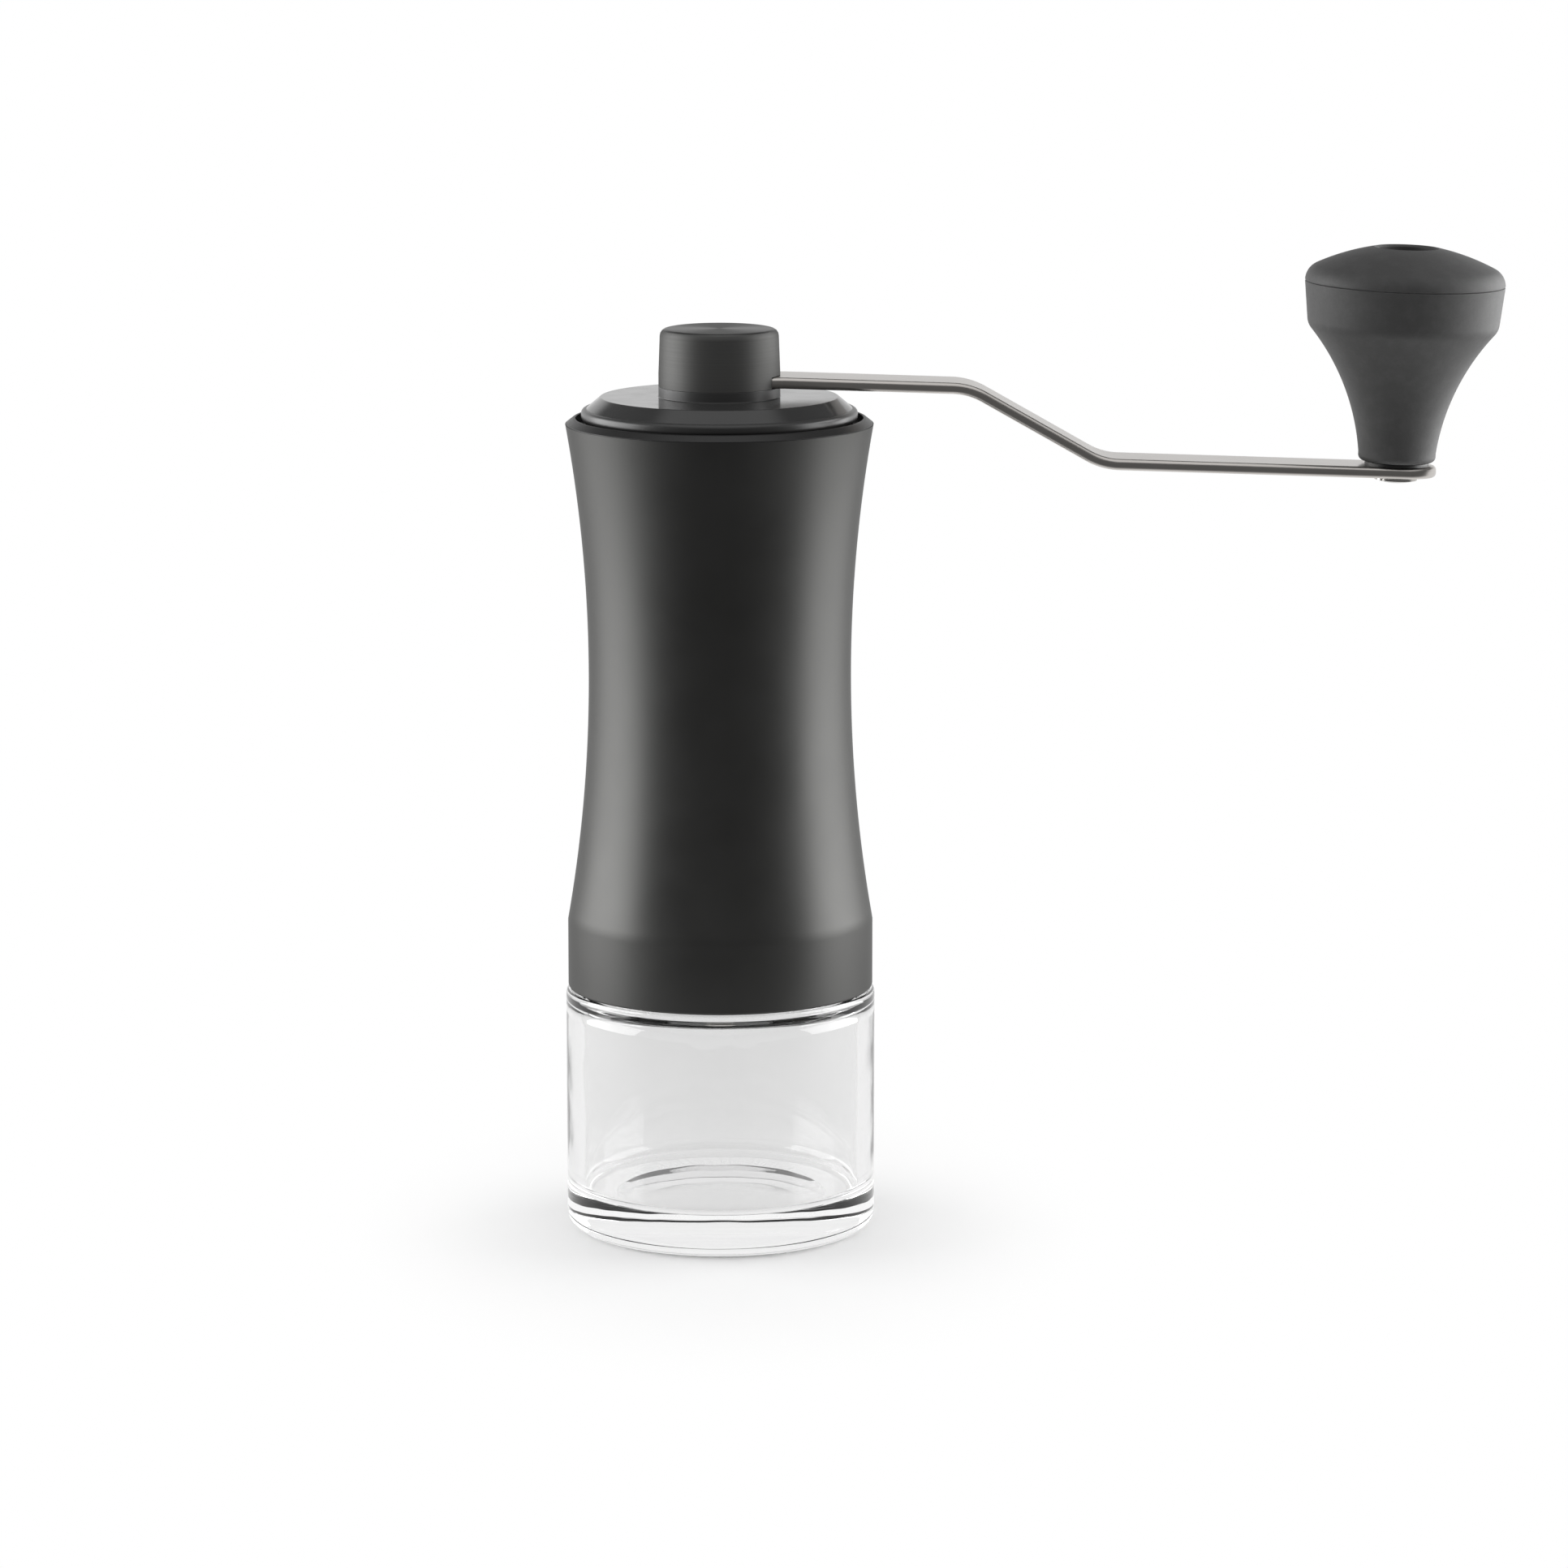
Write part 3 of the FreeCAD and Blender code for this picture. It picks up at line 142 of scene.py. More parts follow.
class BodySizes(bpy.types.PropertyGroup):
    radius: length("Radius", "Radius of the collar and of the top of the sleeve", SLEEVE[1].x)
    low: length("Sleeve bottom", "Height of the sleeve's lower edge", SLEEVE[0].z)
    high: length("Sleeve top", "Height of the sleeve's upper edge", SLEEVE[1].z)
    collar: length("Collar", "Height of the straight collar", 11.9 * MM)
    waist: length("Waist radius", "Radius at the narrowest place", 23.2 * MM)
    wall: length("Sleeve wall", "Thickness of the sleeve", 1.2 * MM)
    edge: length("Sleeve edge", "Rounding of the lower edge", 0.35 * MM)
    liner_gap: length("Liner gap", "Room between sleeve and hopper", 0.25 * MM)
    liner_wall: length("Hopper wall", "Thickness of the hopper", 1.6 * MM)
    spigot_low: length("Spigot bottom", "Height of the hopper's lower end", HOPPER[0].z)
    spigot_length: length("Spigot", "Length of the hopper's spigot", 6.0 * MM)
    spigot_wall: length("Spigot wall", "Thickness of the spigot", 1.9 * MM)
    socket_wall: length("Socket wall", "Room for the socket round the spigot", 1.45 * MM)
    funnel: length("Funnel", "Length of the hopper's funnel", 14.0 * MM)
    rim_top: length("Rim top", "Height of the hopper's rim", HOPPER[1].z)
    rim_flat: length("Rim flat", "Width of the flat on top of the rim", 0.4 * MM)
    rim_edge: length("Rim edge", "Rounding of the rim's edges", 0.25 * MM)
    mouth: length("Mouth", "Radius of the mouth inside the rim", 25.3 * MM)
    mouth_depth: length("Mouth depth", "Depth of the mouth's step", 1.7 * MM)
    seat: length("Bridge seat", "Radius of the seat for the upper bridge", 24.0 * MM)
    seat_drop: length("Seat drop", "Depth of that seat under the sleeve's top", 4.6 * MM)


class CrankSizes(bpy.types.PropertyGroup):
    lid_radius: length("Lid radius", "Outer radius of the lid", LID[1].x)
    lid_low: length("Skirt bottom", "Height of the skirt's lower edge", LID[0].z)
    lid_skirt: length("Skirt depth", "How far the skirt hangs under the lip", 1.8 * MM)
    lid_lip: length("Lip", "Height of the lid's lip", 2.1 * MM)
    lid_bead: length("Lip rounding", "Rounding of the lip", 0.75 * MM)
    lid_ledge: length("Lip ledge", "Width of the lip's top, where the bevel starts", 0.9 * MM)
    lid_crisp: length("Lid edge", "Rounding of the lid's other edges", 0.15 * MM)
    lid_bevel: length("Bevel height", "Height of the lid's bevel", 2.1 * MM)
    lid_top: length("Top radius", "Radius of the lid's top plate", 20.9 * MM)
    lid_plate: length("Plate", "Thickness of the lid's top plate", 2.0 * MM)
    skirt_radius: length("Skirt radius", "Outer radius of the skirt", 23.2 * MM)
    skirt_wall: length("Skirt wall", "Thickness of the skirt", 1.5 * MM)
    lid_bore: length("Lid bore", "Radius of the hole for the shaft", 4.064 * MM)
    boss_radius: length("Boss radius", "Radius of the boss and the cap's foot", CAP[1].y)
    boss_top: length("Boss top", "Height of the boss", LID[1].z)
    cap_top: length("Cap top", "Height of the hub cap", CAP[1].z)
    cap_radius: length("Cap radius", "Radius at the top of the cap", 10.4 * MM)
    cap_edge: length("Cap edge", "Rounding of the cap's top edge", 1.2 * MM)
    cap_bore: length("Cap socket", "Radius of the socket for the shaft", 3.6 * MM)
    cap_socket: length("Socket depth", "Depth of the socket above the arm", 4.2 * MM)
    slot_gap: length("Slot gap", "Room round the arm in its slot", 0.1 * MM)
    arm_width: length("Arm width", "Width of the bar", ARM[1].y - ARM[0].y)
    arm_thickness: length("Arm thickness", "Thickness of the bar", 2.0 * MM)
    arm_edge: length("Arm edge", "Rounding of the bar's edges", 0.7 * MM)
    arm_room: length("Edge room", "Width of the strip round the bar's ends that its rounding uses", 1.0 * MM)
    arm_tail: length("Arm tail", "Reach of the bar behind the shaft", -ARM[0].x)
    arm_reach: length("Arm reach", "Crank radius", 119.0 * MM)
    arm_overhang: length("Overhang", "Reach of the bar beyond the knob's axis", 7.0 * MM)
    arm_droop_start: length("Droop start", "Where the bar leaves the hub", 11.5 * MM)
    arm_bend_start: length("First bend", "Place of the first bend along the bar", 43.8 * MM)
    arm_bend_end: length("Second bend", "Place of the second bend along the bar", 67.2 * MM)
    arm_bend_radius: length("Bend radius", "Radius of both bends", 12.0 * MM)
    rivet_flange: length("Rivet flange", "Radius of the rivet's thin flange", 4.1 * MM)
    rivet_flange_height: length("Flange height", "Thickness of that flange", 0.25 * MM)
    rivet_radius: length("Rivet radius", "Radius of the rivet's head", 3.75 * MM)
    rivet_height: length("Rivet height", "Height of the rivet's head", 1.25 * MM)
    rivet_dome: length("Rivet dome", "Rise of the head's dome", 0.6 * MM)
    arm_droop: angle("Droop", "Slope of the outer bar", 1.8)
    arm_bend: angle("Bend", "Slope between the bends", 29.5)


class KnobSizes(bpy.types.PropertyGroup):
    washer: length("Washer", "Height of the knob over the arm", 0.6 * MM)
    bore: length("Bore", "Radius of the knob's bore", 4.22 * MM)
    neck: length("Neck radius", "Radius of the knob's neck", 6.8 * MM)
    neck_edge: length("Neck edge", "Rounding under the neck", 1.0 * MM)
    neck_top: length("Neck top", "Height where the flare starts", 1.6 * MM)
    flare: length("Flare", "Radius of the flare's hollow curve", 40.0 * MM)
    shoulder: length("Shoulder radius", "Radius where the flare ends", 16.1 * MM)
    shoulder_height: length("Shoulder height", "Height where the flare ends", 23.0 * MM)
    shoulder_bend: length("Shoulder bend", "Rounding between flare and band", 3.1 * MM)
    band: length("Band radius", "Radius where the band starts", 16.8 * MM)
    band_height: length("Band height", "Height where the band starts", 24.7 * MM)
    radius: length("Radius", "Radius at the seam", 17.5 * MM)
    seam: length("Seam height", "Height of the seam between the mouldings", 31.3 * MM)
    seam_edge: length("Seam edge", "Rounding on each side of the seam", 0.22 * MM)
    recess: length("Recess radius", "Radius of the recess under the cap", 12.0 * MM)
    recess_depth: length("Recess depth", "Depth of that recess", 4.0 * MM)
    fit: length("Fit", "Room round the cap's spigot", 0.1 * MM)
    cap_edge: length("Cap edge", "Rounding of the cap's outer edge", 3.2 * MM)
    cap_edge_height: length("Cap edge height", "Height of that rounding", 3.0 * MM)
    cap_edge_inset: length("Cap edge inset", "Depth of that rounding", 1.9 * MM)
    cap_crown: length("Crown", "Radius of the cap's crown", 40.0 * MM)
    cap_height: length("Cap height", "Height of the cap above the seam", 6.3 * MM)
    cap_wall: length("Cap wall", "Thickness of the cap's spigot", 2.9 * MM)
    cap_ceiling: length("Cap ceiling", "Thickness of the cap's top", 2.6 * MM)
    hole: length("Hole", "Radius of the hole on top", 5.3 * MM)
    hole_edge: length("Hole edge", "Bevel of the hole", 0.4 * MM)
    spindle: length("Spindle", "Radius of the spindle", 3.0 * MM)
    spindle_tail: length("Spindle tail", "Radius of the spindle in the arm", 2.5 * MM)
    spindle_head: length("Spindle head", "Radius of the head in the recess", 4.6 * MM)
    spindle_head_height: length("Head height", "Height of that head", 1.6 * MM)
    spindle_head_gap: length("Head gap", "Room under that head", 0.3 * MM)
    spindle_head_edge: length("Head edge", "Rounding of that head", 0.4 * MM)


class FinishColours(bpy.types.PropertyGroup):
    sleeve: colour("Sleeve", "Satin black lacquer of the sleeve", "#585857")
    moulding: colour("Mouldings", "Black plastic of hopper and inner mouldings", "#171717")
    lid: colour("Lid", "Gloss black plastic of the lid", "#383838")
    cap: colour("Hub cap", "Black anodised aluminium", "#6e6e6d")
    knob: colour("Knob", "Matte charcoal plastic", "#454545")
    steel: colour("Steel", "Satin stainless steel", "#cdc9c5")
    bright_steel: colour("Bright steel", "Polished and turned steel", "#b8b5b1")
    bronze: colour("Bronze", "Sintered bronze of the bushes", "#a9814e")
    ceramic: colour("Ceramic", "White ceramic of the burrs", "#ebe6db")
    silicone: colour("Silicone", "Grey silicone of the seal", "#8d8c89")
    glass: colour("Glass", "Clear soda-lime glass", "#f0f0f0")
    table: colour("Table", "White laminate table", "#f4f4f4")


class StageSettings(bpy.types.PropertyGroup):
    camera_x: number("Camera X", "Camera's place along X", 0.01134, "LENGTH")
    camera_y: number("Camera Y", "Camera's place along Y", -1.1055, "LENGTH")
    camera_z: number("Camera Z", "Camera's height", 0.2819, "LENGTH")
    camera_pitch: angle("Pitch", "How far the camera looks down", 10.355)
    camera_lens: number("Lens", "Focal length in mm", 145.37, "CAMERA")
    table_half: length("Table", "Half the width of the table", 4.0)
    table_front: length("Table front", "How far the table reaches in front of the grinder", 0.21)
    table_lit: length("Table lit", "How far behind the axis reflections find the table white", 0.03)
    table_glow: share("Table glow", "How white the table looks through the glass", 0.88)
    table_shade: length("Shade reach", "How far in front the table's shade fades to white", 0.11)
    shade_squeeze: number("Shade squeeze", "How much narrower the shade is from side to side", 1.6)
    room_front: share("Room", "Brightness of the room on the camera's side", 0.12)
    wall_start: angle("Wall start", "Where the white wall starts, counted back from the side", -20.487)
    wall_full: angle("Wall full", "Where that wall is fully white, counted back from the side", 26.744)
    wall_high: angle("Wall high", "How far above the horizon that wall stays white", 17.458)
    wall_top: angle("Wall top", "How far above the horizon that wall ends", 30.0)
    ceiling: share("Ceiling", "Brightness of the softbox overhead", 0.85)
    ceiling_lean: angle("Ceiling lean", "How far that softbox leans to the camera", 20.0)
    ceiling_core: angle("Ceiling core", "How far from its middle that softbox stays bright", 34.915)
    ceiling_edge: angle("Ceiling edge", "How far from its middle that softbox ends", 47.156)
    box_width: length("Softbox width", "Width of each side softbox", 0.55)
    box_height: length("Softbox height", "Height of each side softbox", 0.4)
    box_distance: length("Softbox distance", "Distance of each side softbox", 0.5)
    box_aim: length("Softbox aim", "Height that each side softbox points at", 0.09)
    left_angle: angle("Left softbox", "Its angle from the camera", 97.0)
    right_angle: angle("Right softbox", "Its angle from the camera", 103.0)
    left_power: number("Left power", "Power of the left softbox", 3.05, "POWER")
    right_power: number("Right power", "Power of the right softbox", 3.05, "POWER")


# Modelling helpers

def points_of(geometry):
    """The vertices among what an operator made."""
    return [item for item in geometry if isinstance(item, bmesh.types.BMVert)]


class Outline:
    """A chain of edges in the XZ plane, drawn point by point with bmesh operators."""

    def __init__(self, x, z):
        self.mesh = bmesh.new()
        self.first = self.mesh.verts.new((x, 0.0, z))
        self.tip = self.first
        self.corners = []

    def line_to(self, x, z, rounding=0.0):
        """A straight edge; its end is rounded off later where a rounding is given."""
        self.tip = bmesh.ops.extrude_vert_indiv(self.mesh, verts=[self.tip])["verts"][0]
        self.tip.co = (x, 0.0, z)
        if rounding > 0.0:
            self.corners.append((self.tip, rounding))

    def lines_to(self, *points):
        """Straight edges from point to point, each given as line_to takes it."""
        for point in points:
            self.line_to(*point)

    def arc_to(self, x, z, bend, steps):
        """An arc of radius bend, to the left of the way ahead if it is positive."""
        start = Vector((self.tip.co.x, self.tip.co.z))
        stop = Vector((x, z))
        chord = stop - start
        across = Vector((-chord.y, chord.x)).normalized() * math.copysign(1.0, bend)
        half = chord.length / 2.0
        centre = (start + stop) / 2.0 + across * math.sqrt(max(bend * bend - half * half, 0.0))
        sweep = math.copysign(2.0 * math.asin(min(half / abs(bend), 1.0)), bend)
        made = bmesh.ops.spin(
            self.mesh, geom=[self.tip], cent=(centre.x, 0.0, centre.y), axis=(0.0, -1.0, 0.0),
            angle=sweep, steps=steps,
        )
        self.tip = points_of(made["geom_last"])[0]
        self.tip.co = (x, 0.0, z)

    def close(self):
        """Joins the last point to the first."""
        bmesh.ops.contextual_create(self.mesh, geom=[self.tip, self.first])

    def turn(self):
        """Rounds the corners, turns the chain about Z into a closed skin and hands over its mesh."""
        for corner, rounding in self.corners:
            bmesh.ops.bevel(
                self.mesh, geom=[corner], offset=rounding, offset_type="OFFSET", affect="VERTICES",
                segments=CORNER_STEPS, profile=0.5, material=-1,
            )
        chain = self.mesh.verts[:] + self.mesh.edges[:]
        bmesh.ops.spin(
            self.mesh, geom=chain, cent=(0.0, 0.0, 0.0), axis=UP, angle=math.tau, steps=TURN_STEPS,
            use_merge=True,
        )
        tidy_skin(self.mesh)
        return self.mesh


def tidy_skin(mesh):
    """Merges doubled points and points all faces outwards."""
    bmesh.ops.remove_doubles(mesh, verts=mesh.verts[:], dist=TINY)
    bmesh.ops.dissolve_degenerate(mesh, edges=mesh.edges[:], dist=TINY)
    bmesh.ops.recalc_face_normals(mesh, faces=mesh.faces[:])


def join_into(mesh, other):
    """Adds another mesh's faces to a mesh and frees the other one."""
    data = bpy.data.meshes.new("joined")
    other.to_mesh(data)
    other.free()
    mesh.from_mesh(data)
    bpy.data.meshes.remove(data)


def stand_on_knob_axis(mesh):
    """Moves a turned piece from the Z axis to the knob's own leaning axis and hands it back."""
    lean = Vector(UP).rotation_difference(Vector(KNOB_JOINT["axis"])).to_matrix().to_4x4()
    place = Matrix.Translation(Vector(KNOB_JOINT["pos_m"])) @ lean
    bmesh.ops.transform(mesh, matrix=place, verts=mesh.verts[:])
    return mesh


def link_object(name, data):
    """A new object in the scene."""
    made = bpy.data.objects.new(name, data)
    bpy.context.scene.collection.objects.link(made)
    return made


def add_piece(mesh, name, body, node, material):
    """Makes the mesh an object that stands for a node and rides on its body."""
    data = bpy.data.meshes.new(name)
    mesh.to_mesh(data)
    mesh.free()
    if len(data.polygons) == 0:
        raise RuntimeError(f"{name} has no faces")
    data.shade_smooth()
    data.set_sharp_from_angle(angle=SHARP_ANGLE)
    data.materials.append(material)
    piece = link_object(name, data)
    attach(piece, body)
    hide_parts(node)
    return piece


def weigh_normals(piece):
    """Keeps flat faces flat beside their rounded edges."""
    modifier = piece.modifiers.new("weighted normals", "WEIGHTED_NORMAL")
    modifier.keep_sharp = True


def bend_of_rise(half_chord, rise):
    """Radius of the arc that rises by a given amount over half a chord."""
    return (half_chord * half_chord + rise * rise) / (rise * 2.0)


# Material helpers

def feed(node, inputs):
    """Sets a node's inputs, found by place or name, to values, or links them to nodes or sockets."""
    for key, value in inputs.items():
        if isinstance(key, int):
            socket = node.inputs[key]
        else:
            socket = next(one for one in node.inputs if one.enabled and one.name == key)
        if isinstance(value, bpy.types.Node):
            value = next(one for one in value.outputs if one.enabled)
        if isinstance(value, bpy.types.NodeSocket):
            node.id_data.links.new(value, socket)
        else:
            socket.default_value = value


def add_node(tree, kind, inputs=None, **settings):
    """Adds a shader node with its settings and its inputs."""
    node = tree.nodes.new("ShaderNode" + kind)
    for name, value in settings.items():
        setattr(node, name, value)
    feed(node, inputs or {})
    return node


def new_material(name):
    """A material, a function that adds nodes to it, its Principled shader and its Object coordinates."""
    material = bpy.data.materials.new(name)
    material.use_nodes = True
    add = partial(add_node, material.node_tree)
    shader = material.node_tree.nodes["Principled BSDF"]
    return material, add, shader, add("TexCoord").outputs["Object"]


def per_metre(millimetres):
    """Texture scale whose features are this many millimetres across."""
    return 1.0 / (millimetres * MM)


def tinted(base, factor):
    """A colour made darker or lighter by a factor."""
    return (*(min(channel * factor, 1.0) for channel in base[:3]), 1.0)


def distance(add, place, stretch):
    """Distance from the origin with each axis stretched; an axis stretched by nothing is left out."""
    stretched = add("VectorMath", {0: place, 1: stretch}, operation="MULTIPLY")
    return add("VectorMath", {0: stretched}, operation="LENGTH")


def satin_lacquer(base):
    # Black lacquer with fine metal flake, baked on spun steel. It gives a broad satin highlight on
    # a dark ground, a faint orange peel about 0.7 mm across, and slow changes of gloss where hands
    # have rubbed it.
    material, add, shader, place = new_material("satin black lacquer")
    peel = add("TexNoise", {"Vector": place, "Scale": per_metre(0.7), "Detail": 2.0})
    rub = add("TexNoise", {"Vector": place, "Scale": per_metre(14.0), "Detail": 5.0})
    tone = add("Mix", {"Factor": rub, "A": tinted(base, 0.93), "B": tinted(base, 1.07)}, data_type="RGBA")
    gloss = add("MapRange", {"Value": rub, "From Min": 0.3, "From Max": 0.7, "To Min": 0.41, "To Max": 0.47})
    bump = add("Bump", {"Height": peel, "Strength": 0.12, "Distance": 0.02 * MM})
    feed(shader, {
        "Base Color": tone, "Roughness": gloss, "Normal": bump,
        "Metallic": 1.0, "Specular Tint": tinted(WHITE, 0.6),
    })
    return material


def gloss_abs(base, boss, lip):
    # ABS moulded in a tool that is polished for the top and bevel only. Those mirror the room, a
    # little blurred by wiping in patches about 5 mm across and by hairlines about 0.3 mm apart. The
    # boss and the lip, told by their radius, are satin.
    material, add, shader, place = new_material("gloss black ABS")
    wipe = add("TexNoise", {"Vector": place, "Scale": per_metre(5.0), "Detail": 6.0})
    hair = add("TexNoise", {"Vector": place, "Scale": per_metre(0.3), "Detail": 2.0})
    rough = add("MapRange", {
        "Value": wipe, "From Min": 0.35, "From Max": 0.75, "To Min": 0.13, "To Max": 0.19,
    })
    radius = distance(add, place, (1.0, 1.0, 0.0))
    border = 0.2 * MM
    satin_boss = (boss, boss + border, 0.42, 0.0)
    satin_lip = (lip - border, lip, 0.0, 0.34)
    for start, stop, inside, outside in (satin_boss, satin_lip):
        satin = add("MapRange", {
            "Value": radius, "From Min": start, "From Max": stop, "To Min": inside, "To Max": outside,
        })
        rough = add("Math", {0: rough, 1: satin}, operation="MAXIMUM")
    bump = add("Bump", {"Height": hair, "Strength": 0.03, "Distance": 0.01 * MM})
    feed(shader, {"Base Color": base, "Roughness": rough, "Normal": bump, "IOR": 1.53})
    return material


def moulded_nylon(base):
    # Glass-filled nylon moulded in a spark-eroded tool. It shows a dull sheen over a pebbled grain
    # about 0.35 mm across, with paler fibre specks.
    material, add, shader, place = new_material("black moulded nylon")
    grain = add("TexNoise", {"Vector": place, "Scale": per_metre(0.35), "Detail": 2.0})
    speck = add("TexNoise", {"Vector": place, "Scale": per_metre(2.5), "Detail": 8.0})
    tone = add("Mix", {"Factor": speck, "A": tinted(base, 0.75), "B": tinted(base, 1.3)}, data_type="RGBA")
    gloss = add("MapRange", {"Value": grain, "To Min": 0.34, "To Max": 0.5})
    bump = add("Bump", {"Height": grain, "Strength": 0.2, "Distance": 0.03 * MM})
    feed(shader, {"Base Color": tone, "Roughness": gloss, "Normal": bump, "IOR": 1.53})
    return material


def matte_abs(base):
    # ABS with a fine sprayed texture. It looks charcoal and matte, with a sand-like grain about
    # 0.4 mm across and a few paler scuffs from use.
    material, add, shader, place = new_material("matte charcoal ABS")
    grain = add("TexNoise", {"Vector": place, "Scale": per_metre(0.4), "Detail": 3.0})
    scuff = add("TexNoise", {"Vector": place, "Scale": per_metre(3.0), "Detail": 9.0, "Roughness": 0.7})
    worn = add("MapRange", {"Value": scuff, "From Min": 0.45, "From Max": 0.8})
    tone = add("Mix", {"Factor": worn, "A": tinted(base, 0.96), "B": tinted(base, 1.25)}, data_type="RGBA")
    gloss = add("MapRange", {"Value": grain, "To Min": 0.55, "To Max": 0.7})
    bump = add("Bump", {"Height": grain, "Strength": 0.25, "Distance": 0.04 * MM})
    feed(shader, {"Base Color": tone, "Roughness": gloss, "Normal": bump, "IOR": 1.53})
    return material


def turned_anodised(base, top):
    # Aluminium turned on a lathe and dyed black. The tool left rings 0.1 mm apart, drawn here
    # 0.35 mm apart so that they show. The top was turned finer than the side. The tangent runs along
    # the rings, and a quarter turn from it pulls the highlights out across them.
    material, add, shader, place = new_material("black anodised aluminium")
    rim_depth = 0.4 * MM
    face_depth = 0.1 * MM
    radius = distance(add, place, (1.0, 1.0, 0.0))
    height = add("SeparateXYZ", {"Vector": place}).outputs["Z"]
    along = add("Math", {0: radius, 1: height}, operation="ADD")
    rings = add("TexNoise", {"W": along, "Scale": per_metre(0.35), "Detail": 3.0}, noise_dimensions="1D")
    side = add("MapRange", {"Value": rings, "To Min": 0.66, "To Max": 0.74})
    face = add("MapRange", {"Value": height, "From Min": top - rim_depth, "From Max": top - face_depth})
    gloss = add("Mix", {"Factor": face, "A": side, "B": 0.33}, data_type="FLOAT")
    bump = add("Bump", {"Height": rings, "Strength": 0.35, "Distance": 0.03 * MM})
    around = add("VectorMath", {0: UP, 1: place}, operation="CROSS_PRODUCT")
    grooves = add(
        "VectorTransform", {"Vector": around},
        vector_type="VECTOR", convert_from="OBJECT", convert_to="WORLD",
    )
    feed(shader, {
        "Base Color": base, "Metallic": 1.0, "Specular Tint": tinted(WHITE, 0.52), "Roughness": gloss,
        "Anisotropic": 0.65, "Anisotropic Rotation": 0.25, "Tangent": grooves, "Normal": bump,
    })
    return material


def brushed_stainless(base):
    # Stainless bar brushed along its length. Grain lines run with the bar, each about 0.1 mm wide,
    # drawn 0.3 mm wide so that they show, and about 25 mm long.
    material, add, shader, place = new_material("brushed stainless steel")
    lines = (per_metre(25.0), per_metre(0.3), per_metre(0.3))
    stretch = add("Mapping", {"Vector": place, "Scale": lines})
    grain = add("TexNoise", {"Vector": stretch, "Scale": 1.0, "Detail": 3.0})
    tone = add("Mix", {"Factor": grain, "A": tinted(base, 0.95), "B": tinted(base, 1.05)}, data_type="RGBA")
    gloss = add("MapRange", {"Value": grain, "To Min": 0.25, "To Max": 0.34})
    bump = add("Bump", {"Height": grain, "Strength": 0.15, "Distance": 0.02 * MM})
    feed(shader, {
        "Base Color": tone, "Roughness": gloss, "Normal": bump,
        "Metallic": 1.0, "Specular Tint": tinted(WHITE, 0.95),
    })
    return material


def bright_steel(base):
    # Steel turned or rolled and then tumbled bright. It shows clear reflections with fine
    # random marks about 0.6 mm across.
    material, add, shader, place = new_material("bright steel")
    marks = add("TexNoise", {"Vector": place, "Scale": per_metre(0.6), "Detail": 4.0})
    gloss = add("MapRange", {"Value": marks, "To Min": 0.16, "To Max": 0.28})
    feed(shader, {"Base Color": base, "Metallic": 1.0, "Roughness": gloss})
    return material


def sintered_bronze(base):
    # Bronze powder pressed and sintered, then soaked in oil. It is dull, with dark pores about
    # 0.25 mm apart.
    material, add, shader, place = new_material("sintered bronze")
    pores = add("TexVoronoi", {"Vector": place, "Scale": per_metre(0.25)})
    tone = add("Mix", {"Factor": pores, "A": tinted(base, 0.55), "B": tinted(base, 1.1)}, data_type="RGBA")
    feed(shader, {"Base Color": tone, "Metallic": 1.0, "Roughness": 0.42})
    return material


def fired_ceramic(base):
    # Alumina pressed and fired without a glaze. It is off-white and dull, with a powdery grain
    # about 0.3 mm across and faint brown coffee oil in the hollows.
    material, add, shader, place = new_material("fired ceramic")
    grain = add("TexNoise", {"Vector": place, "Scale": per_metre(0.3), "Detail": 3.0})
    stain = add("TexNoise", {"Vector": place, "Scale": per_metre(4.0), "Detail": 5.0})
    tone = add("Mix", {"Factor": stain, "A": base, "B": tinted(base, 0.72)}, data_type="RGBA")
    bump = add("Bump", {"Height": grain, "Strength": 0.2, "Distance": 0.03 * MM})
    feed(shader, {"Base Color": tone, "Roughness": 0.5, "Normal": bump, "IOR": 1.76})
    return material


def moulded_silicone(base):
    # Silicone rubber moulded in a plain tool. It is soft and slightly see-through at its edges,
    # with a dusty bloom about 1.5 mm across.
    material, add, shader, place = new_material("grey silicone")
    bloom = add("TexNoise", {"Vector": place, "Scale": per_metre(1.5), "Detail": 5.0})
    tone = add("Mix", {"Factor": bloom, "A": tinted(base, 0.85), "B": tinted(base, 1.15)}, data_type="RGBA")
    feed(shader, {
        "Base Color": tone, "Roughness": 0.55, "IOR": 1.41,
        "Subsurface Weight": 0.2, "Subsurface Scale": 1.0 * MM,
    })
    return material


def pressed_glass(base):
    # Soda-lime glass pressed in a mould and fire polished. It is clear, with a slow waviness
    # about 9 mm across that bends what is seen through it.
    material, add, shader, place = new_material("pressed soda-lime glass")
    wave = add("TexNoise", {"Vector": place, "Scale": per_metre(9.0), "Detail": 1.0})
    bump = add("Bump", {"Height": wave, "Strength": 0.25, "Distance": 0.3 * MM})
    feed(shader, {
        "Base Color": base, "Transmission Weight": 1.0, "Roughness": 0.0, "IOR": 1.52, "Normal": bump,
    })
    return material


# Pieces

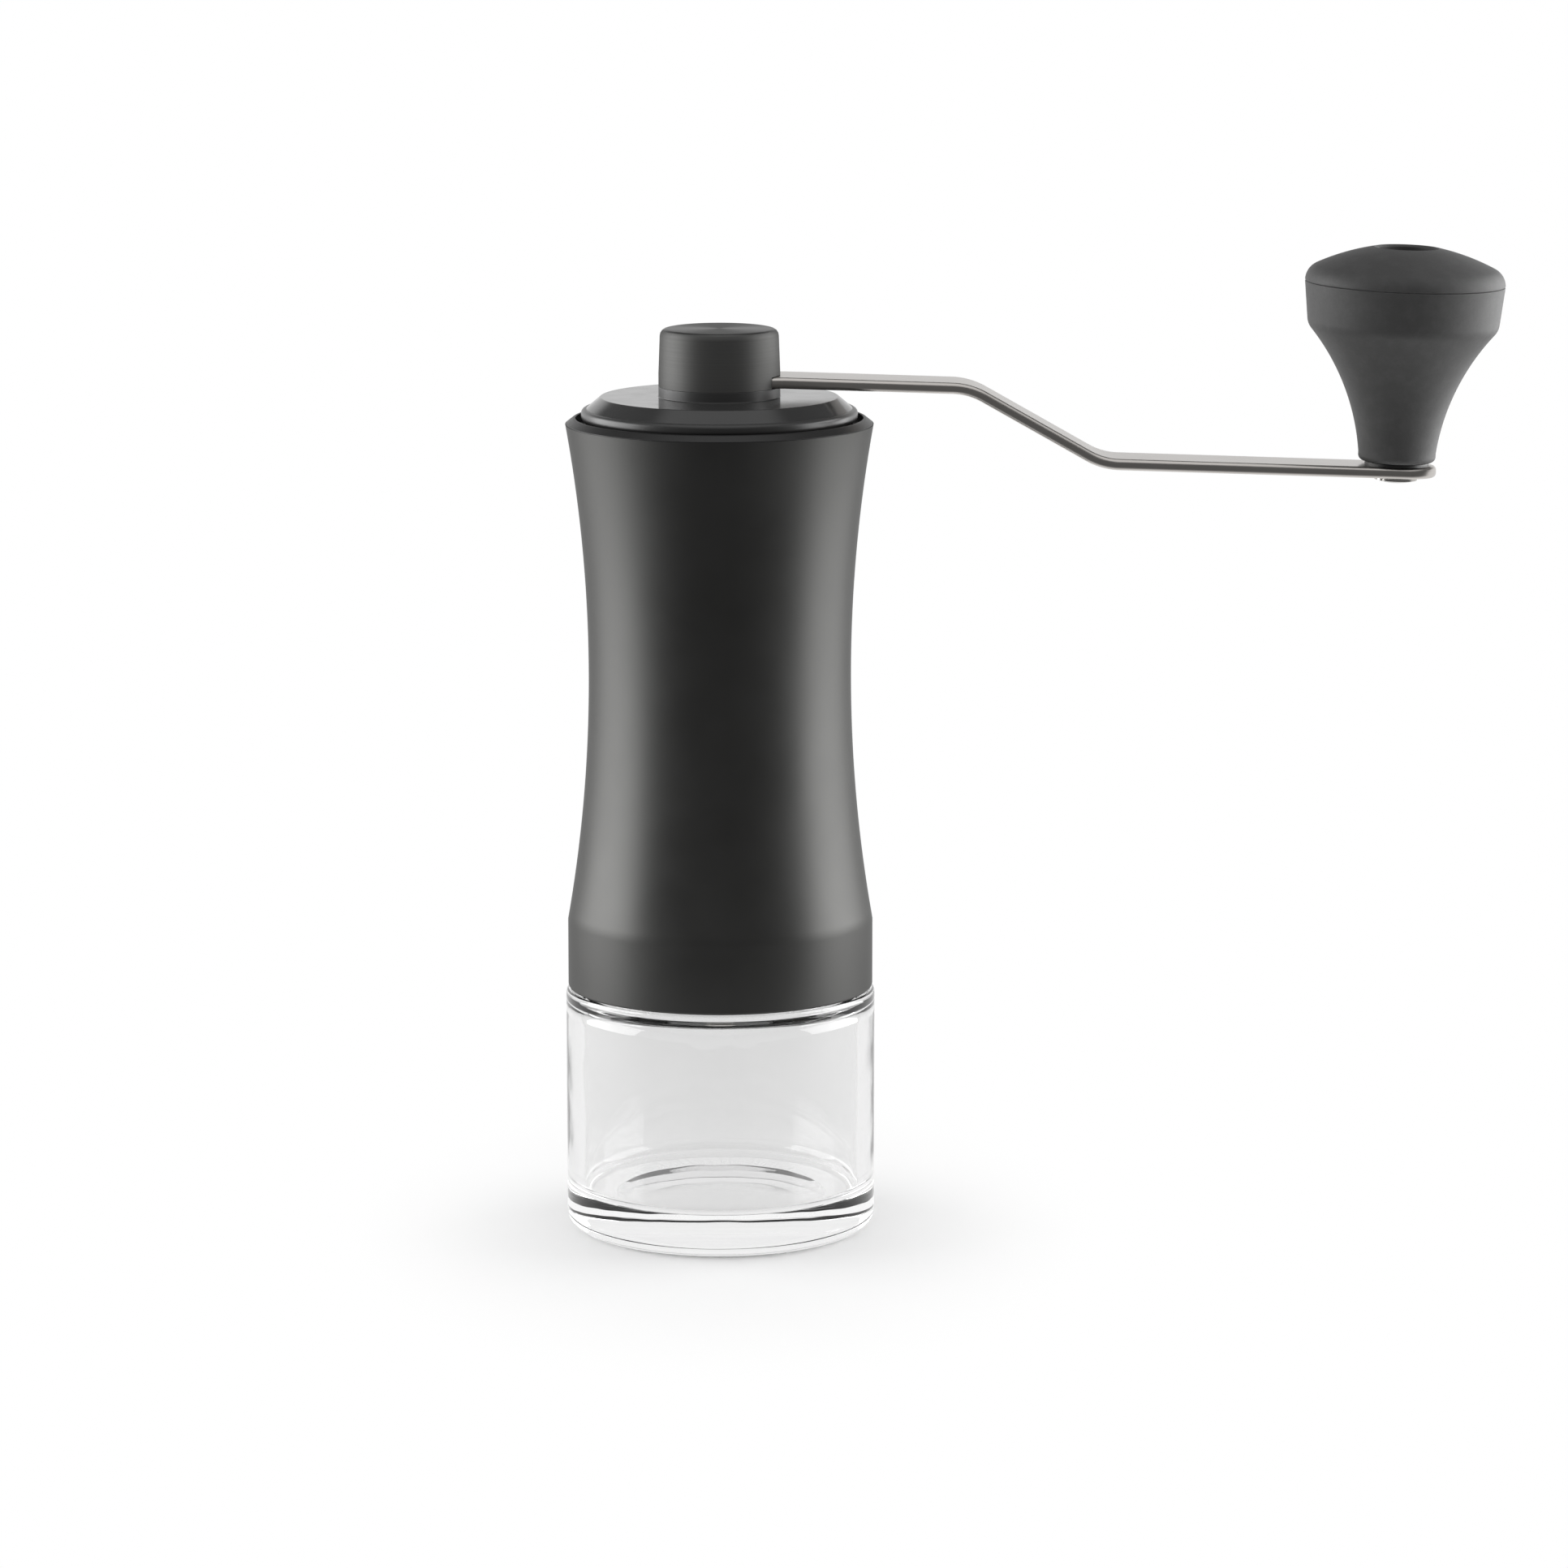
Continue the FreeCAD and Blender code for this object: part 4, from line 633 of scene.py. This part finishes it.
def jar_thread(size):
    """One turn of thread ridge round the neck, closed at both ends."""
    middle = size.shoulder + size.thread_lift
    root = size.neck_radius - size.thread_sink
    crest = size.neck_radius + size.thread_depth
    half_root = size.thread_root / 2.0
    half_crest = size.thread_crest / 2.0
    ridge = Outline(root, middle - half_root)
    ridge.lines_to((crest, middle - half_crest), (crest, middle + half_crest), (root, middle + half_root))
    ridge.close()
    start = bmesh.ops.contextual_create(ridge.mesh, geom=ridge.mesh.edges[:])["faces"]
    made = bmesh.ops.spin(
        ridge.mesh, geom=start, cent=(0.0, 0.0, 0.0), axis=UP,
        dvec=(0.0, 0.0, size.thread_lead / TURN_STEPS), angle=math.tau, steps=TURN_STEPS,
    )
    if not made["geom_last"]:
        raise RuntimeError("the jar's thread was not made")
    tidy_skin(ridge.mesh)
    return ridge.mesh


class GRINDER_OT_add_jar(bpy.types.Operator):
    """Add the pressed glass jar with its threaded neck"""
    bl_idname = "grinder.add_jar"
    bl_label = "Jar"

    def execute(self, context):
        size = context.scene.grinder_jar
        bore = size.radius - size.wall
        neck_bore = size.neck_radius - size.neck_wall
        shoulder = bore - neck_bore
        outline = Outline(0.0, size.foot_recess)
        outline.arc_to(size.foot_radius, 0.0, -bend_of_rise(size.foot_radius, size.foot_recess), steps=16)
        outline.line_to(size.radius - size.heel, 0.0)
        outline.arc_to(size.radius, size.heel, size.heel, steps=12)
        outline.line_to(size.radius, size.shoulder - size.edge)
        outline.arc_to(size.radius - size.edge, size.shoulder, size.edge, steps=6)
        outline.line_to(size.neck_radius, size.shoulder, size.neck_edge / 2.0)
        outline.line_to(size.neck_radius, size.neck_top - size.neck_edge)
        outline.arc_to(size.neck_radius - size.neck_edge, size.neck_top, size.neck_edge, steps=5)
        outline.line_to(neck_bore, size.neck_top, size.neck_edge / 2.0)
        outline.line_to(neck_bore, size.shoulder)
        outline.arc_to(bore, size.shoulder - shoulder, -shoulder, steps=14)
        outline.line_to(bore, size.floor + size.inner_heel)
        outline.arc_to(bore - size.inner_heel, size.floor, -size.inner_heel, steps=14)
        outline.line_to(0.0, size.floor)
        mesh = outline.turn()
        join_into(mesh, jar_thread(size))
        material = pressed_glass(context.scene.grinder_colours.glass)
        add_piece(mesh, "jar_glass", "jar", "glass_jar", material)
        return {"FINISHED"}


class GRINDER_OT_add_body(bpy.types.Operator):
    """Add the waisted sleeve and the hopper inside it"""
    bl_idname = "grinder.add_body"
    bl_label = "Sleeve and hopper"

    def execute(self, context):
        size = context.scene.grinder_body
        colours = context.scene.grinder_colours
        collar_top = size.low + size.collar
        middle = (size.high + collar_top) / 2.0
        bend = bend_of_rise((size.high - collar_top) / 2.0, size.radius - size.waist)
        waist_steps = 24

        def inset_radius(inset, height):
            reach = bend + inset
            rise = height - middle
            return size.waist + bend - math.sqrt(reach * reach - rise * rise)

        inner_low = inset_radius(size.wall, collar_top)
        inner_high = inset_radius(size.wall, size.high)
        outline = Outline(inner_low, size.low)
        outline.line_to(size.radius, size.low, size.edge)
        outline.line_to(size.radius, collar_top)
        outline.arc_to(size.waist, middle, -bend, waist_steps)
        outline.arc_to(size.radius, size.high, -bend, waist_steps)
        outline.line_to(inner_high, size.high)
        outline.arc_to(size.waist - size.wall, middle, bend + size.wall, waist_steps)
        outline.arc_to(inner_low, collar_top, bend + size.wall, waist_steps)
        outline.close()
        lacquer = satin_lacquer(colours.sleeve)
        weigh_normals(
            add_piece(outline.turn(), "sleeve_shell", "housing", "body_sleeve", lacquer)
        )

        liner = size.wall + size.liner_gap
        bore = liner + size.liner_wall
        liner_waist = size.waist - liner
        spigot = liner_waist - size.socket_wall
        bean_bore = spigot - size.spigot_wall
        socket_top = size.spigot_low + size.spigot_length
        step = size.rim_top - size.mouth_depth
        seat = size.high - size.seat_drop
        outline = Outline(bean_bore, size.spigot_low)
        outline.lines_to(
            (spigot, size.spigot_low), (spigot, socket_top), (liner_waist, socket_top), (liner_waist, middle)
        )
        outline.arc_to(inset_radius(liner, size.high), size.high, -(bend + liner), waist_steps)
        outline.lines_to(
            (size.radius, size.high, size.rim_edge),
            (size.mouth + size.rim_flat, size.rim_top, size.rim_edge),
            (size.mouth, size.rim_top, size.rim_edge / 2.0),
            (size.mouth, step),
            (size.seat, step),
            (size.seat, seat),
            (inset_radius(bore, seat), seat),
        )
        outline.arc_to(size.waist - bore, middle, bend + bore, waist_steps)
        outline.line_to(bean_bore, middle - size.funnel)
        outline.close()
        nylon = moulded_nylon(colours.moulding)
        weigh_normals(add_piece(outline.turn(), "hopper_liner", "housing", "hopper", nylon))
        return {"FINISHED"}


def cut_arm_slot(mesh, size, slot_top):
    """Opens a slot for the arm in the foot of the cap, with walls and a roof."""
    half = size.arm_width / 2.0 + size.slot_gap
    back = -size.arm_tail - size.slot_gap
    planes = (
        ((0.0, 0.0, slot_top), UP),
        ((0.0, half, 0.0), (0.0, 1.0, 0.0)),
        ((0.0, -half, 0.0), (0.0, 1.0, 0.0)),
        ((back, 0.0, 0.0), (1.0, 0.0, 0.0)),
    )
    for point, normal in planes:
        everything = mesh.verts[:] + mesh.edges[:] + mesh.faces[:]
        bmesh.ops.bisect_plane(mesh, geom=everything, dist=TINY, plane_co=point, plane_no=normal)
    opened = []
    for face in mesh.faces:
        middle = face.calc_center_median()
        if middle.z < slot_top - TINY and abs(middle.y) < half and middle.x > back:
            opened.append(face)
    bmesh.ops.delete(mesh, geom=opened, context="FACES")
    low_rim = []
    for edge in mesh.edges:
        if edge.is_boundary and max(vert.co.z for vert in edge.verts) < size.boss_top + TINY:
            low_rim.append(edge)
    raised = points_of(bmesh.ops.extrude_edge_only(mesh, edges=low_rim)["geom"])
    bmesh.ops.translate(mesh, verts=raised, vec=(0.0, 0.0, slot_top - size.boss_top))
    bmesh.ops.remove_doubles(mesh, verts=mesh.verts[:], dist=WELD)
    roof = [edge for edge in mesh.edges if edge.is_boundary]
    bmesh.ops.triangle_fill(mesh, use_beauty=True, edges=roof, normal=(0.0, 0.0, -1.0))
    if any(edge.is_boundary for edge in mesh.edges):
        raise RuntimeError("the cap's slot did not close")
    tidy_skin(mesh)


class GRINDER_OT_add_lid(bpy.types.Operator):
    """Add the gloss lid and the turned cap on its boss"""
    bl_idname = "grinder.add_lid"
    bl_label = "Lid and hub cap"

    def execute(self, context):
        size = context.scene.grinder_crank
        colours = context.scene.grinder_colours
        lip_low = size.lid_low + size.lid_skirt
        lip_high = lip_low + size.lid_lip
        ledge = size.lid_radius - size.lid_ledge
        plate_top = lip_high + size.lid_bevel
        plate_low = plate_top - size.lid_plate
        skirt_inner = size.skirt_radius - size.skirt_wall
        crisp = size.lid_crisp
        outline = Outline(size.lid_bore, plate_low)
        outline.lines_to(
            (skirt_inner, plate_low),
            (skirt_inner, size.lid_low),
            (size.skirt_radius, size.lid_low, crisp),
            (size.skirt_radius, lip_low),
            (size.lid_radius, lip_low, size.lid_bead),
            (size.lid_radius, lip_high, size.lid_bead),
            (ledge, lip_high),
            (size.lid_top, plate_top, crisp),
            (size.boss_radius, plate_top, crisp),
            (size.boss_radius, size.boss_top, crisp),
            (size.lid_bore, size.boss_top),
        )
        outline.close()
        polished = gloss_abs(colours.lid, size.boss_radius, ledge)
        weigh_normals(add_piece(outline.turn(), "lid_moulding", "crank", "lid", polished))

        slot_top = size.boss_top + size.arm_thickness + size.slot_gap
        socket_top = size.boss_top + size.arm_thickness + size.cap_socket
        outline = Outline(0.0, socket_top)
        outline.lines_to(
            (size.cap_bore, socket_top),
            (size.cap_bore, size.boss_top),
            (size.boss_radius, size.boss_top),
            (size.boss_radius, slot_top + size.slot_gap),
            (size.cap_radius, size.cap_top, size.cap_edge),
            (0.0, size.cap_top),
        )
        mesh = outline.turn()
        cut_arm_slot(mesh, size, slot_top)
        anodised = turned_anodised(colours.cap, size.cap_top)
        weigh_normals(add_piece(mesh, "cap_turning", "crank", "hub_cap", anodised))
        return {"FINISHED"}


def arm_end(size, seam, way, hole):
    """A flat rounded end of the bar on the XY plane, from x = seam, with a hole at x = 0."""
    mesh = bmesh.new()
    half = size.arm_width / 2.0
    reach = size.arm_overhang if way > 0.0 else size.arm_tail
    centre = (reach - half) * way
    start = mesh.verts.new((centre, -half, 0.0))
    turned = bmesh.ops.spin(
        mesh, geom=[start], cent=(centre, 0.0, 0.0), axis=(0.0, 0.0, way), angle=math.pi, steps=28
    )
    stop = points_of(turned["geom_last"])[0]
    stop.co = (centre, half, 0.0)
    sides = []
    for vert in (start, stop):
        made = bmesh.ops.extrude_vert_indiv(mesh, verts=[vert])["verts"][0]
        made.co = (seam, vert.co.y, 0.0)
        sides.append(made)
    bmesh.ops.contextual_create(mesh, geom=sides)
    flat = bmesh.ops.contextual_create(mesh, geom=mesh.edges[:])["faces"]
    bmesh.ops.inset_region(mesh, faces=flat, thickness=size.arm_room, use_boundary=True, use_even_offset=True)
    border = set(flat[0].edges)
    bmesh.ops.delete(mesh, geom=flat, context="FACES_ONLY")
    for vert in bmesh.ops.create_circle(mesh, segments=36, radius=hole)["verts"]:
        border.update(vert.link_edges)
    bmesh.ops.triangle_fill(mesh, use_beauty=True, edges=list(border), normal=UP)
    return mesh


def mark_bar_rim(mesh, holes):
    """Gives the bar's outer edges, and not those of its holes, a bevel weight."""
    weight = mesh.edges.layers.float.new("bevel_weight_edge")
    for edge in mesh.edges:
        spot = edge.verts[0].co
        in_hole = any((spot - centre).length < radius + WELD for centre, radius in holes)
        if edge.is_boundary and not in_hole:
            edge[weight] = 1.0


def crank_bar(size, hub_hole, knob_hole):
    """The middle surface of the bent bar, with its rounded ends and their holes."""
    half = size.arm_width / 2.0
    level = size.boss_top + size.arm_thickness / 2.0
    droop = math.tan(size.arm_droop)
    setback = size.arm_bend_radius * math.tan((size.arm_bend - size.arm_droop) / 2.0)
    first_z = level - (size.arm_bend_start - size.arm_droop_start) * droop
    second_z = first_z - (size.arm_bend_end - size.arm_bend_start) * math.tan(size.arm_bend)
    seam_x = size.arm_reach - half
    seam_z = second_z - (seam_x - size.arm_bend_end) * droop
    knob_z = second_z - (size.arm_reach - size.arm_bend_end) * droop
    gentle = Vector((math.cos(size.arm_droop), -math.sin(size.arm_droop))) * setback
    steep = Vector((math.cos(size.arm_bend), -math.sin(size.arm_bend))) * setback
    first = Vector((size.arm_bend_start, first_z))
    second = Vector((size.arm_bend_end, second_z))
    bar = Outline(size.arm_droop_start, level)
    bar.line_to(*(first - gentle))
    bar.arc_to(*(first + steep), -size.arm_bend_radius, steps=10)
    bar.line_to(*(second - steep))
    bar.arc_to(*(second + gentle), size.arm_bend_radius, steps=10)
    bar.line_to(seam_x, seam_z)
    mesh = bar.mesh
    far_side = points_of(bmesh.ops.extrude_edge_only(mesh, edges=mesh.edges[:])["geom"])
    bmesh.ops.translate(mesh, verts=far_side, vec=(0.0, size.arm_width, 0.0))
    bmesh.ops.translate(mesh, verts=mesh.verts[:], vec=(0.0, -half, 0.0))
    outer_seam = (seam_x - size.arm_reach) / math.cos(size.arm_droop)
    lean = Matrix.Rotation(size.arm_droop, 4, "Y")
    ends = (
        (size.arm_droop_start, -1.0, hub_hole, Matrix.Translation((0.0, 0.0, level))),
        (outer_seam, 1.0, knob_hole, Matrix.Translation((size.arm_reach, 0.0, knob_z)) @ lean),
    )
    for seam, way, hole, place in ends:
        end = arm_end(size, seam, way, hole)
        bmesh.ops.transform(end, matrix=place, verts=end.verts[:])
        join_into(mesh, end)
    bmesh.ops.remove_doubles(mesh, verts=mesh.verts[:], dist=WELD)
    bmesh.ops.recalc_face_normals(mesh, faces=mesh.faces[:])
    mark_bar_rim(mesh, [(place.translation, hole) for seam, way, hole, place in ends])
    return mesh


def rivet_turning(size, knob):
    """The rivet: a domed head under the arm, the knob's spindle and a head in the knob's recess."""
    under = -size.arm_thickness
    flange = under - size.rivet_flange_height
    button = under - size.rivet_height
    dome = bend_of_rise(size.rivet_radius, size.rivet_dome)
    head_low = knob.washer + knob.seam - knob.recess_depth + knob.spindle_head_gap
    head_top = head_low + knob.spindle_head_height
    rivet = Outline(0.0, button)
    rivet.arc_to(size.rivet_radius, button + size.rivet_dome, dome, steps=10)
    rivet.lines_to(
        (size.rivet_radius, flange),
        (size.rivet_flange, flange, size.rivet_flange_height / 3.0),
        (size.rivet_flange, under),
        (knob.spindle_tail, under),
        (knob.spindle_tail, 0.0),
        (knob.spindle, 0.0),
        (knob.spindle, head_low),
        (knob.spindle_head, head_low, knob.spindle_head_edge),
        (knob.spindle_head, head_top, knob.spindle_head_edge),
        (0.0, head_top),
    )
    return stand_on_knob_axis(rivet.turn())


def hang_flag(lamp_name, pieces):
    """Keeps one softbox off some pieces, as a card on a stand would, so that they don't burn out."""
    shaded = bpy.data.collections.new("flag")
    for piece in pieces:
        shaded.objects.link(piece)
    for entry in shaded.collection_objects:
        entry.light_linking.link_state = "EXCLUDE"
    bpy.data.objects[lamp_name].light_linking.receiver_collection = shaded


class GRINDER_OT_add_arm(bpy.types.Operator):
    """Add the bent crank bar and the rivet that carries the knob"""
    bl_idname = "grinder.add_arm"
    bl_label = "Crank arm and rivet"

    def execute(self, context):
        size = context.scene.grinder_crank
        knob = context.scene.grinder_knob
        colours = context.scene.grinder_colours
        bar = crank_bar(size, size.cap_bore, knob.spindle_tail)
        arm = add_piece(bar, "arm_bar", "crank", "crank_arm", brushed_stainless(colours.steel))
        wall = arm.modifiers.new("thickness", "SOLIDIFY")
        wall.thickness = size.arm_thickness
        wall.offset = 0.0
        wall.use_even_offset = True
        edges = arm.modifiers.new("rounded edges", "BEVEL")
        edges.width = size.arm_edge
        edges.segments = CORNER_STEPS
        edges.limit_method = "WEIGHT"
        edges.use_clamp_overlap = False
        weigh_normals(arm)

        steel = bright_steel(colours.bright_steel)
        pin = rivet_turning(size, knob)
        rivet = add_piece(pin, "rivet", "crank", "knob_spindle", steel)
        hang_flag(RIGHT_BOX, [arm, rivet])
        return {"FINISHED"}


class GRINDER_OT_add_knob(bpy.types.Operator):
    """Add the knob's grip and its cap"""
    bl_idname = "grinder.add_knob"
    bl_label = "Knob"

    def execute(self, context):
        size = context.scene.grinder_knob
        material = matte_abs(context.scene.grinder_colours.knob)
        low = size.washer
        seam = low + size.seam
        floor = seam - size.recess_depth
        grip = Outline(size.bore, low)
        grip.line_to(size.neck - size.neck_edge, low)
        grip.arc_to(size.neck, low + size.neck_edge, size.neck_edge, steps=6)
        grip.line_to(size.neck, low + size.neck_top)
        grip.arc_to(size.shoulder, low + size.shoulder_height, -size.flare, steps=32)
        grip.arc_to(size.band, low + size.band_height, size.shoulder_bend, steps=8)
        grip.lines_to(
            (size.radius, seam, size.seam_edge), (size.recess, seam), (size.recess, floor), (size.bore, floor)
        )
        grip.close()

        spigot = size.recess - size.fit
        cavity = spigot - size.cap_wall
        top = seam + size.cap_height
        ceiling = top - size.cap_ceiling
        crown = Outline(spigot, seam)
        crown.line_to(size.radius, seam, size.seam_edge)
        crown.arc_to(size.radius - size.cap_edge_inset, seam + size.cap_edge_height, size.cap_edge, steps=10)
        crown.arc_to(size.hole + size.hole_edge, top, size.cap_crown, steps=16)
        crown.lines_to(
            (size.hole, top - size.hole_edge),
            (size.hole, ceiling),
            (cavity, ceiling),
            (cavity, floor + size.fit),
            (spigot, floor + size.fit),
        )
        crown.close()
        for outline, name, node in ((grip, "knob_grip", "knob_body"), (crown, "knob_crown", "knob_cap")):
            mesh = stand_on_knob_axis(outline.turn())
            weigh_normals(add_piece(mesh, name, "knob", node, material))
        return {"FINISHED"}


class GRINDER_OT_finish_inside(bpy.types.Operator):
    """Give the pieces inside the grinder their materials"""
    bl_idname = "grinder.finish_inside"
    bl_label = "Inside"

    def execute(self, context):
        colours = context.scene.grinder_colours
        finishes = (
            (moulded_silicone(colours.silicone), ("jar_seal",)),
            (moulded_nylon(colours.moulding), (
                "burr_housing", "upper_bridge", "burr_clamp_ring", "burr_carrier", "adjusting_nut",
                "knob_washer",
            )),
            (fired_ceramic(colours.ceramic), ("outer_burr", "inner_burr")),
            (sintered_bronze(colours.bronze), ("upper_bush", "lower_bush", "knob_bush")),
            (bright_steel(colours.bright_steel), (
                "drive_shaft", "shaft_clip", "thrust_washer", "burr_spring", "clamp_screws", "click_plate",
                "hub_screws",
            )),
        )
        for material, names in finishes:
            for name in names:
                slots = frame["nodes"][name].material_slots
                if not slots:
                    raise RuntimeError(f"{name} has no material slot")
                for slot in slots:
                    slot.material = material
        return {"FINISHED"}


# Stage

def pale_table(settings, base):
    # A white laminate table. It keeps the soft shade round the foot and fades to the white
    # background further out; a faint grain about 3 mm across keeps it from looking flat.
    # Reflections see it white behind the grinder and dark in front, where the room is dark.
    material, add, shader, place = new_material("white laminate")
    grain = add("TexNoise", {"Vector": place, "Scale": per_metre(3.0), "Detail": 3.0})
    gloss = add("MapRange", {"Value": grain, "To Min": 0.6, "To Max": 0.75})
    feed(shader, {"Base Color": base, "Roughness": gloss, "Specular IOR Level": 0.2})
    away = distance(add, place, (settings.shade_squeeze, 1.0, 1.0))
    faded = add(
        "MapRange", {"Value": away, "From Max": settings.table_shade}, interpolation_type="SMOOTHSTEP"
    )
    ray = add("LightPath").outputs
    through = ray["Is Transmission Ray"]
    glossy = ray["Is Glossy Ray"]
    seen = add("Math", {0: ray["Is Camera Ray"], 1: through}, operation="MAXIMUM")
    outside = add("Math", {0: seen, 1: faded}, operation="MULTIPLY")
    below = add("Math", {0: through, 1: settings.table_glow, 2: glossy}, operation="MULTIPLY_ADD")
    glow = add("Math", {0: outside, 1: below}, operation="MAXIMUM")
    behind = add("SeparateXYZ", {"Vector": place}).outputs["Y"]
    depth = add("MapRange", {
        "Value": behind, "From Min": -settings.table_front, "From Max": settings.table_lit,
        "To Min": settings.room_front, "To Max": 1.0,
    }, interpolation_type="SMOOTHSTEP")
    strength = add("Mix", {"Factor": glossy, "A": 1.0, "B": depth}, data_type="FLOAT")
    white = add("Emission", {"Color": WHITE, "Strength": strength})
    mixed = add("MixShader", {0: glow, 1: shader, 2: white})
    feed(material.node_tree.nodes["Material Output"], {"Surface": mixed})
    return material


def studio_world(settings):
    """A white wall behind the grinder, a softbox overhead that leans forward and a darker room elsewhere."""
    world = bpy.data.worlds.new("studio")
    world.use_nodes = True
    add = partial(add_node, world.node_tree)
    look = add("TexCoord").outputs["Generated"]
    way = add("SeparateXYZ", {"Vector": look}).outputs
    lean = (0.0, -math.sin(settings.ceiling_lean), math.cos(settings.ceiling_lean))
    above = add("VectorMath", {0: look, 1: lean}, operation="DOT_PRODUCT")
    fades = (
        (way["Y"], math.sin(settings.wall_start), math.sin(settings.wall_full), 0.0, 1.0),
        (way["Z"], math.sin(settings.wall_high), math.sin(settings.wall_top), 1.0, 0.0),
        (above, math.cos(settings.ceiling_edge), math.cos(settings.ceiling_core), 0.0, settings.ceiling),
    )
    levels = []
    for value, start, stop, before, after in fades:
        levels.append(add("MapRange", {
            "Value": value, "From Min": start, "From Max": stop, "To Min": before, "To Max": after,
        }, interpolation_type="SMOOTHSTEP"))
    wall, wall_top, overhead = levels
    ray = add("LightPath").outputs
    strength = add("Math", {0: wall, 1: wall_top}, operation="MULTIPLY")
    for level in (overhead, settings.room_front, ray["Is Camera Ray"], ray["Is Transmission Ray"]):
        strength = add("Math", {0: strength, 1: level}, operation="MAXIMUM")
    feed(world.node_tree.nodes["Background"], {"Color": WHITE, "Strength": strength})
    return world


class GRINDER_OT_add_stage(bpy.types.Operator):
    """Add the camera, the floor, the softboxes and the world"""
    bl_idname = "grinder.add_stage"
    bl_label = "Stage"

    def execute(self, context):
        scene = context.scene
        settings = scene.grinder_stage
        scene.view_settings.view_transform = "Standard"
        scene.world = studio_world(settings)

        camera_data = bpy.data.cameras.new("camera")
        camera_data.lens = settings.camera_lens
        camera = link_object("camera", camera_data)
        camera.location = (settings.camera_x, settings.camera_y, settings.camera_z)
        camera.rotation_euler = (math.pi / 2.0 - settings.camera_pitch, 0.0, 0.0)
        scene.camera = camera

        mesh = bmesh.new()
        bmesh.ops.create_grid(mesh, x_segments=1, y_segments=1, size=settings.table_half)
        back = settings.table_half - settings.table_front
        bmesh.ops.translate(mesh, verts=mesh.verts[:], vec=(0.0, back, 0.0))
        data = bpy.data.meshes.new("floor")
        mesh.to_mesh(data)
        mesh.free()
        data.materials.append(pale_table(settings, scene.grinder_colours.table))
        floor = link_object("floor", data)

        boxes = (
            ("left softbox", -settings.left_angle, settings.left_power),
            (RIGHT_BOX, settings.right_angle, settings.right_power),
        )
        target = Vector((0.0, 0.0, settings.box_aim))
        for name, turn, power in boxes:
            lamp_data = bpy.data.lights.new(name, "AREA")
            lamp_data.shape = "RECTANGLE"
            lamp_data.size = settings.box_width
            lamp_data.size_y = settings.box_height
            lamp_data.energy = power
            lamp = link_object(name, lamp_data)
            way = Vector((math.sin(turn), -math.cos(turn), 0.0))
            lamp.location = way * settings.box_distance + Vector((0.0, 0.0, settings.box_height / 2.0))
            lamp.rotation_euler = (target - lamp.location).to_track_quat("-Z", "Y").to_euler()
            lamp.visible_camera = False
        return {"FINISHED"}


class GRINDER_PT_panel(bpy.types.Panel):
    """Lists the grinder's pieces and their sizes"""
    bl_label = "Coffee grinder"
    bl_idname = "GRINDER_PT_panel"
    bl_space_type = "VIEW_3D"
    bl_region_type = "UI"
    bl_category = "Grinder"

    def draw(self, context):
        for operator in OPERATORS:
            self.layout.operator(operator.bl_idname)
        for name, group in GROUPS.items():
            column = self.layout.column()
            for entry in group.__annotations__:
                column.prop(getattr(context.scene, name), entry)


GROUPS = {
    "grinder_jar": JarSizes,
    "grinder_body": BodySizes,
    "grinder_crank": CrankSizes,
    "grinder_knob": KnobSizes,
    "grinder_colours": FinishColours,
    "grinder_stage": StageSettings,
}

OPERATORS = (
    GRINDER_OT_add_stage,
    GRINDER_OT_add_jar,
    GRINDER_OT_add_body,
    GRINDER_OT_add_lid,
    GRINDER_OT_add_arm,
    GRINDER_OT_add_knob,
    GRINDER_OT_finish_inside,
)

CLASSES = (*GROUPS.values(), *OPERATORS, GRINDER_PT_panel)


def register():
    for item in CLASSES:
        bpy.utils.register_class(item)
    for name, group in GROUPS.items():
        setattr(bpy.types.Scene, name, PointerProperty(type=group))


def unregister():
    for name in GROUPS:
        delattr(bpy.types.Scene, name)
    for item in reversed(CLASSES):
        bpy.utils.unregister_class(item)


def main():
    register()
    bpy.ops.grinder.add_stage()
    bpy.ops.grinder.add_jar()
    bpy.ops.grinder.add_body()
    bpy.ops.grinder.add_lid()
    bpy.ops.grinder.add_arm()
    bpy.ops.grinder.add_knob()
    bpy.ops.grinder.finish_inside()


if __name__ == "__main__":
    main()
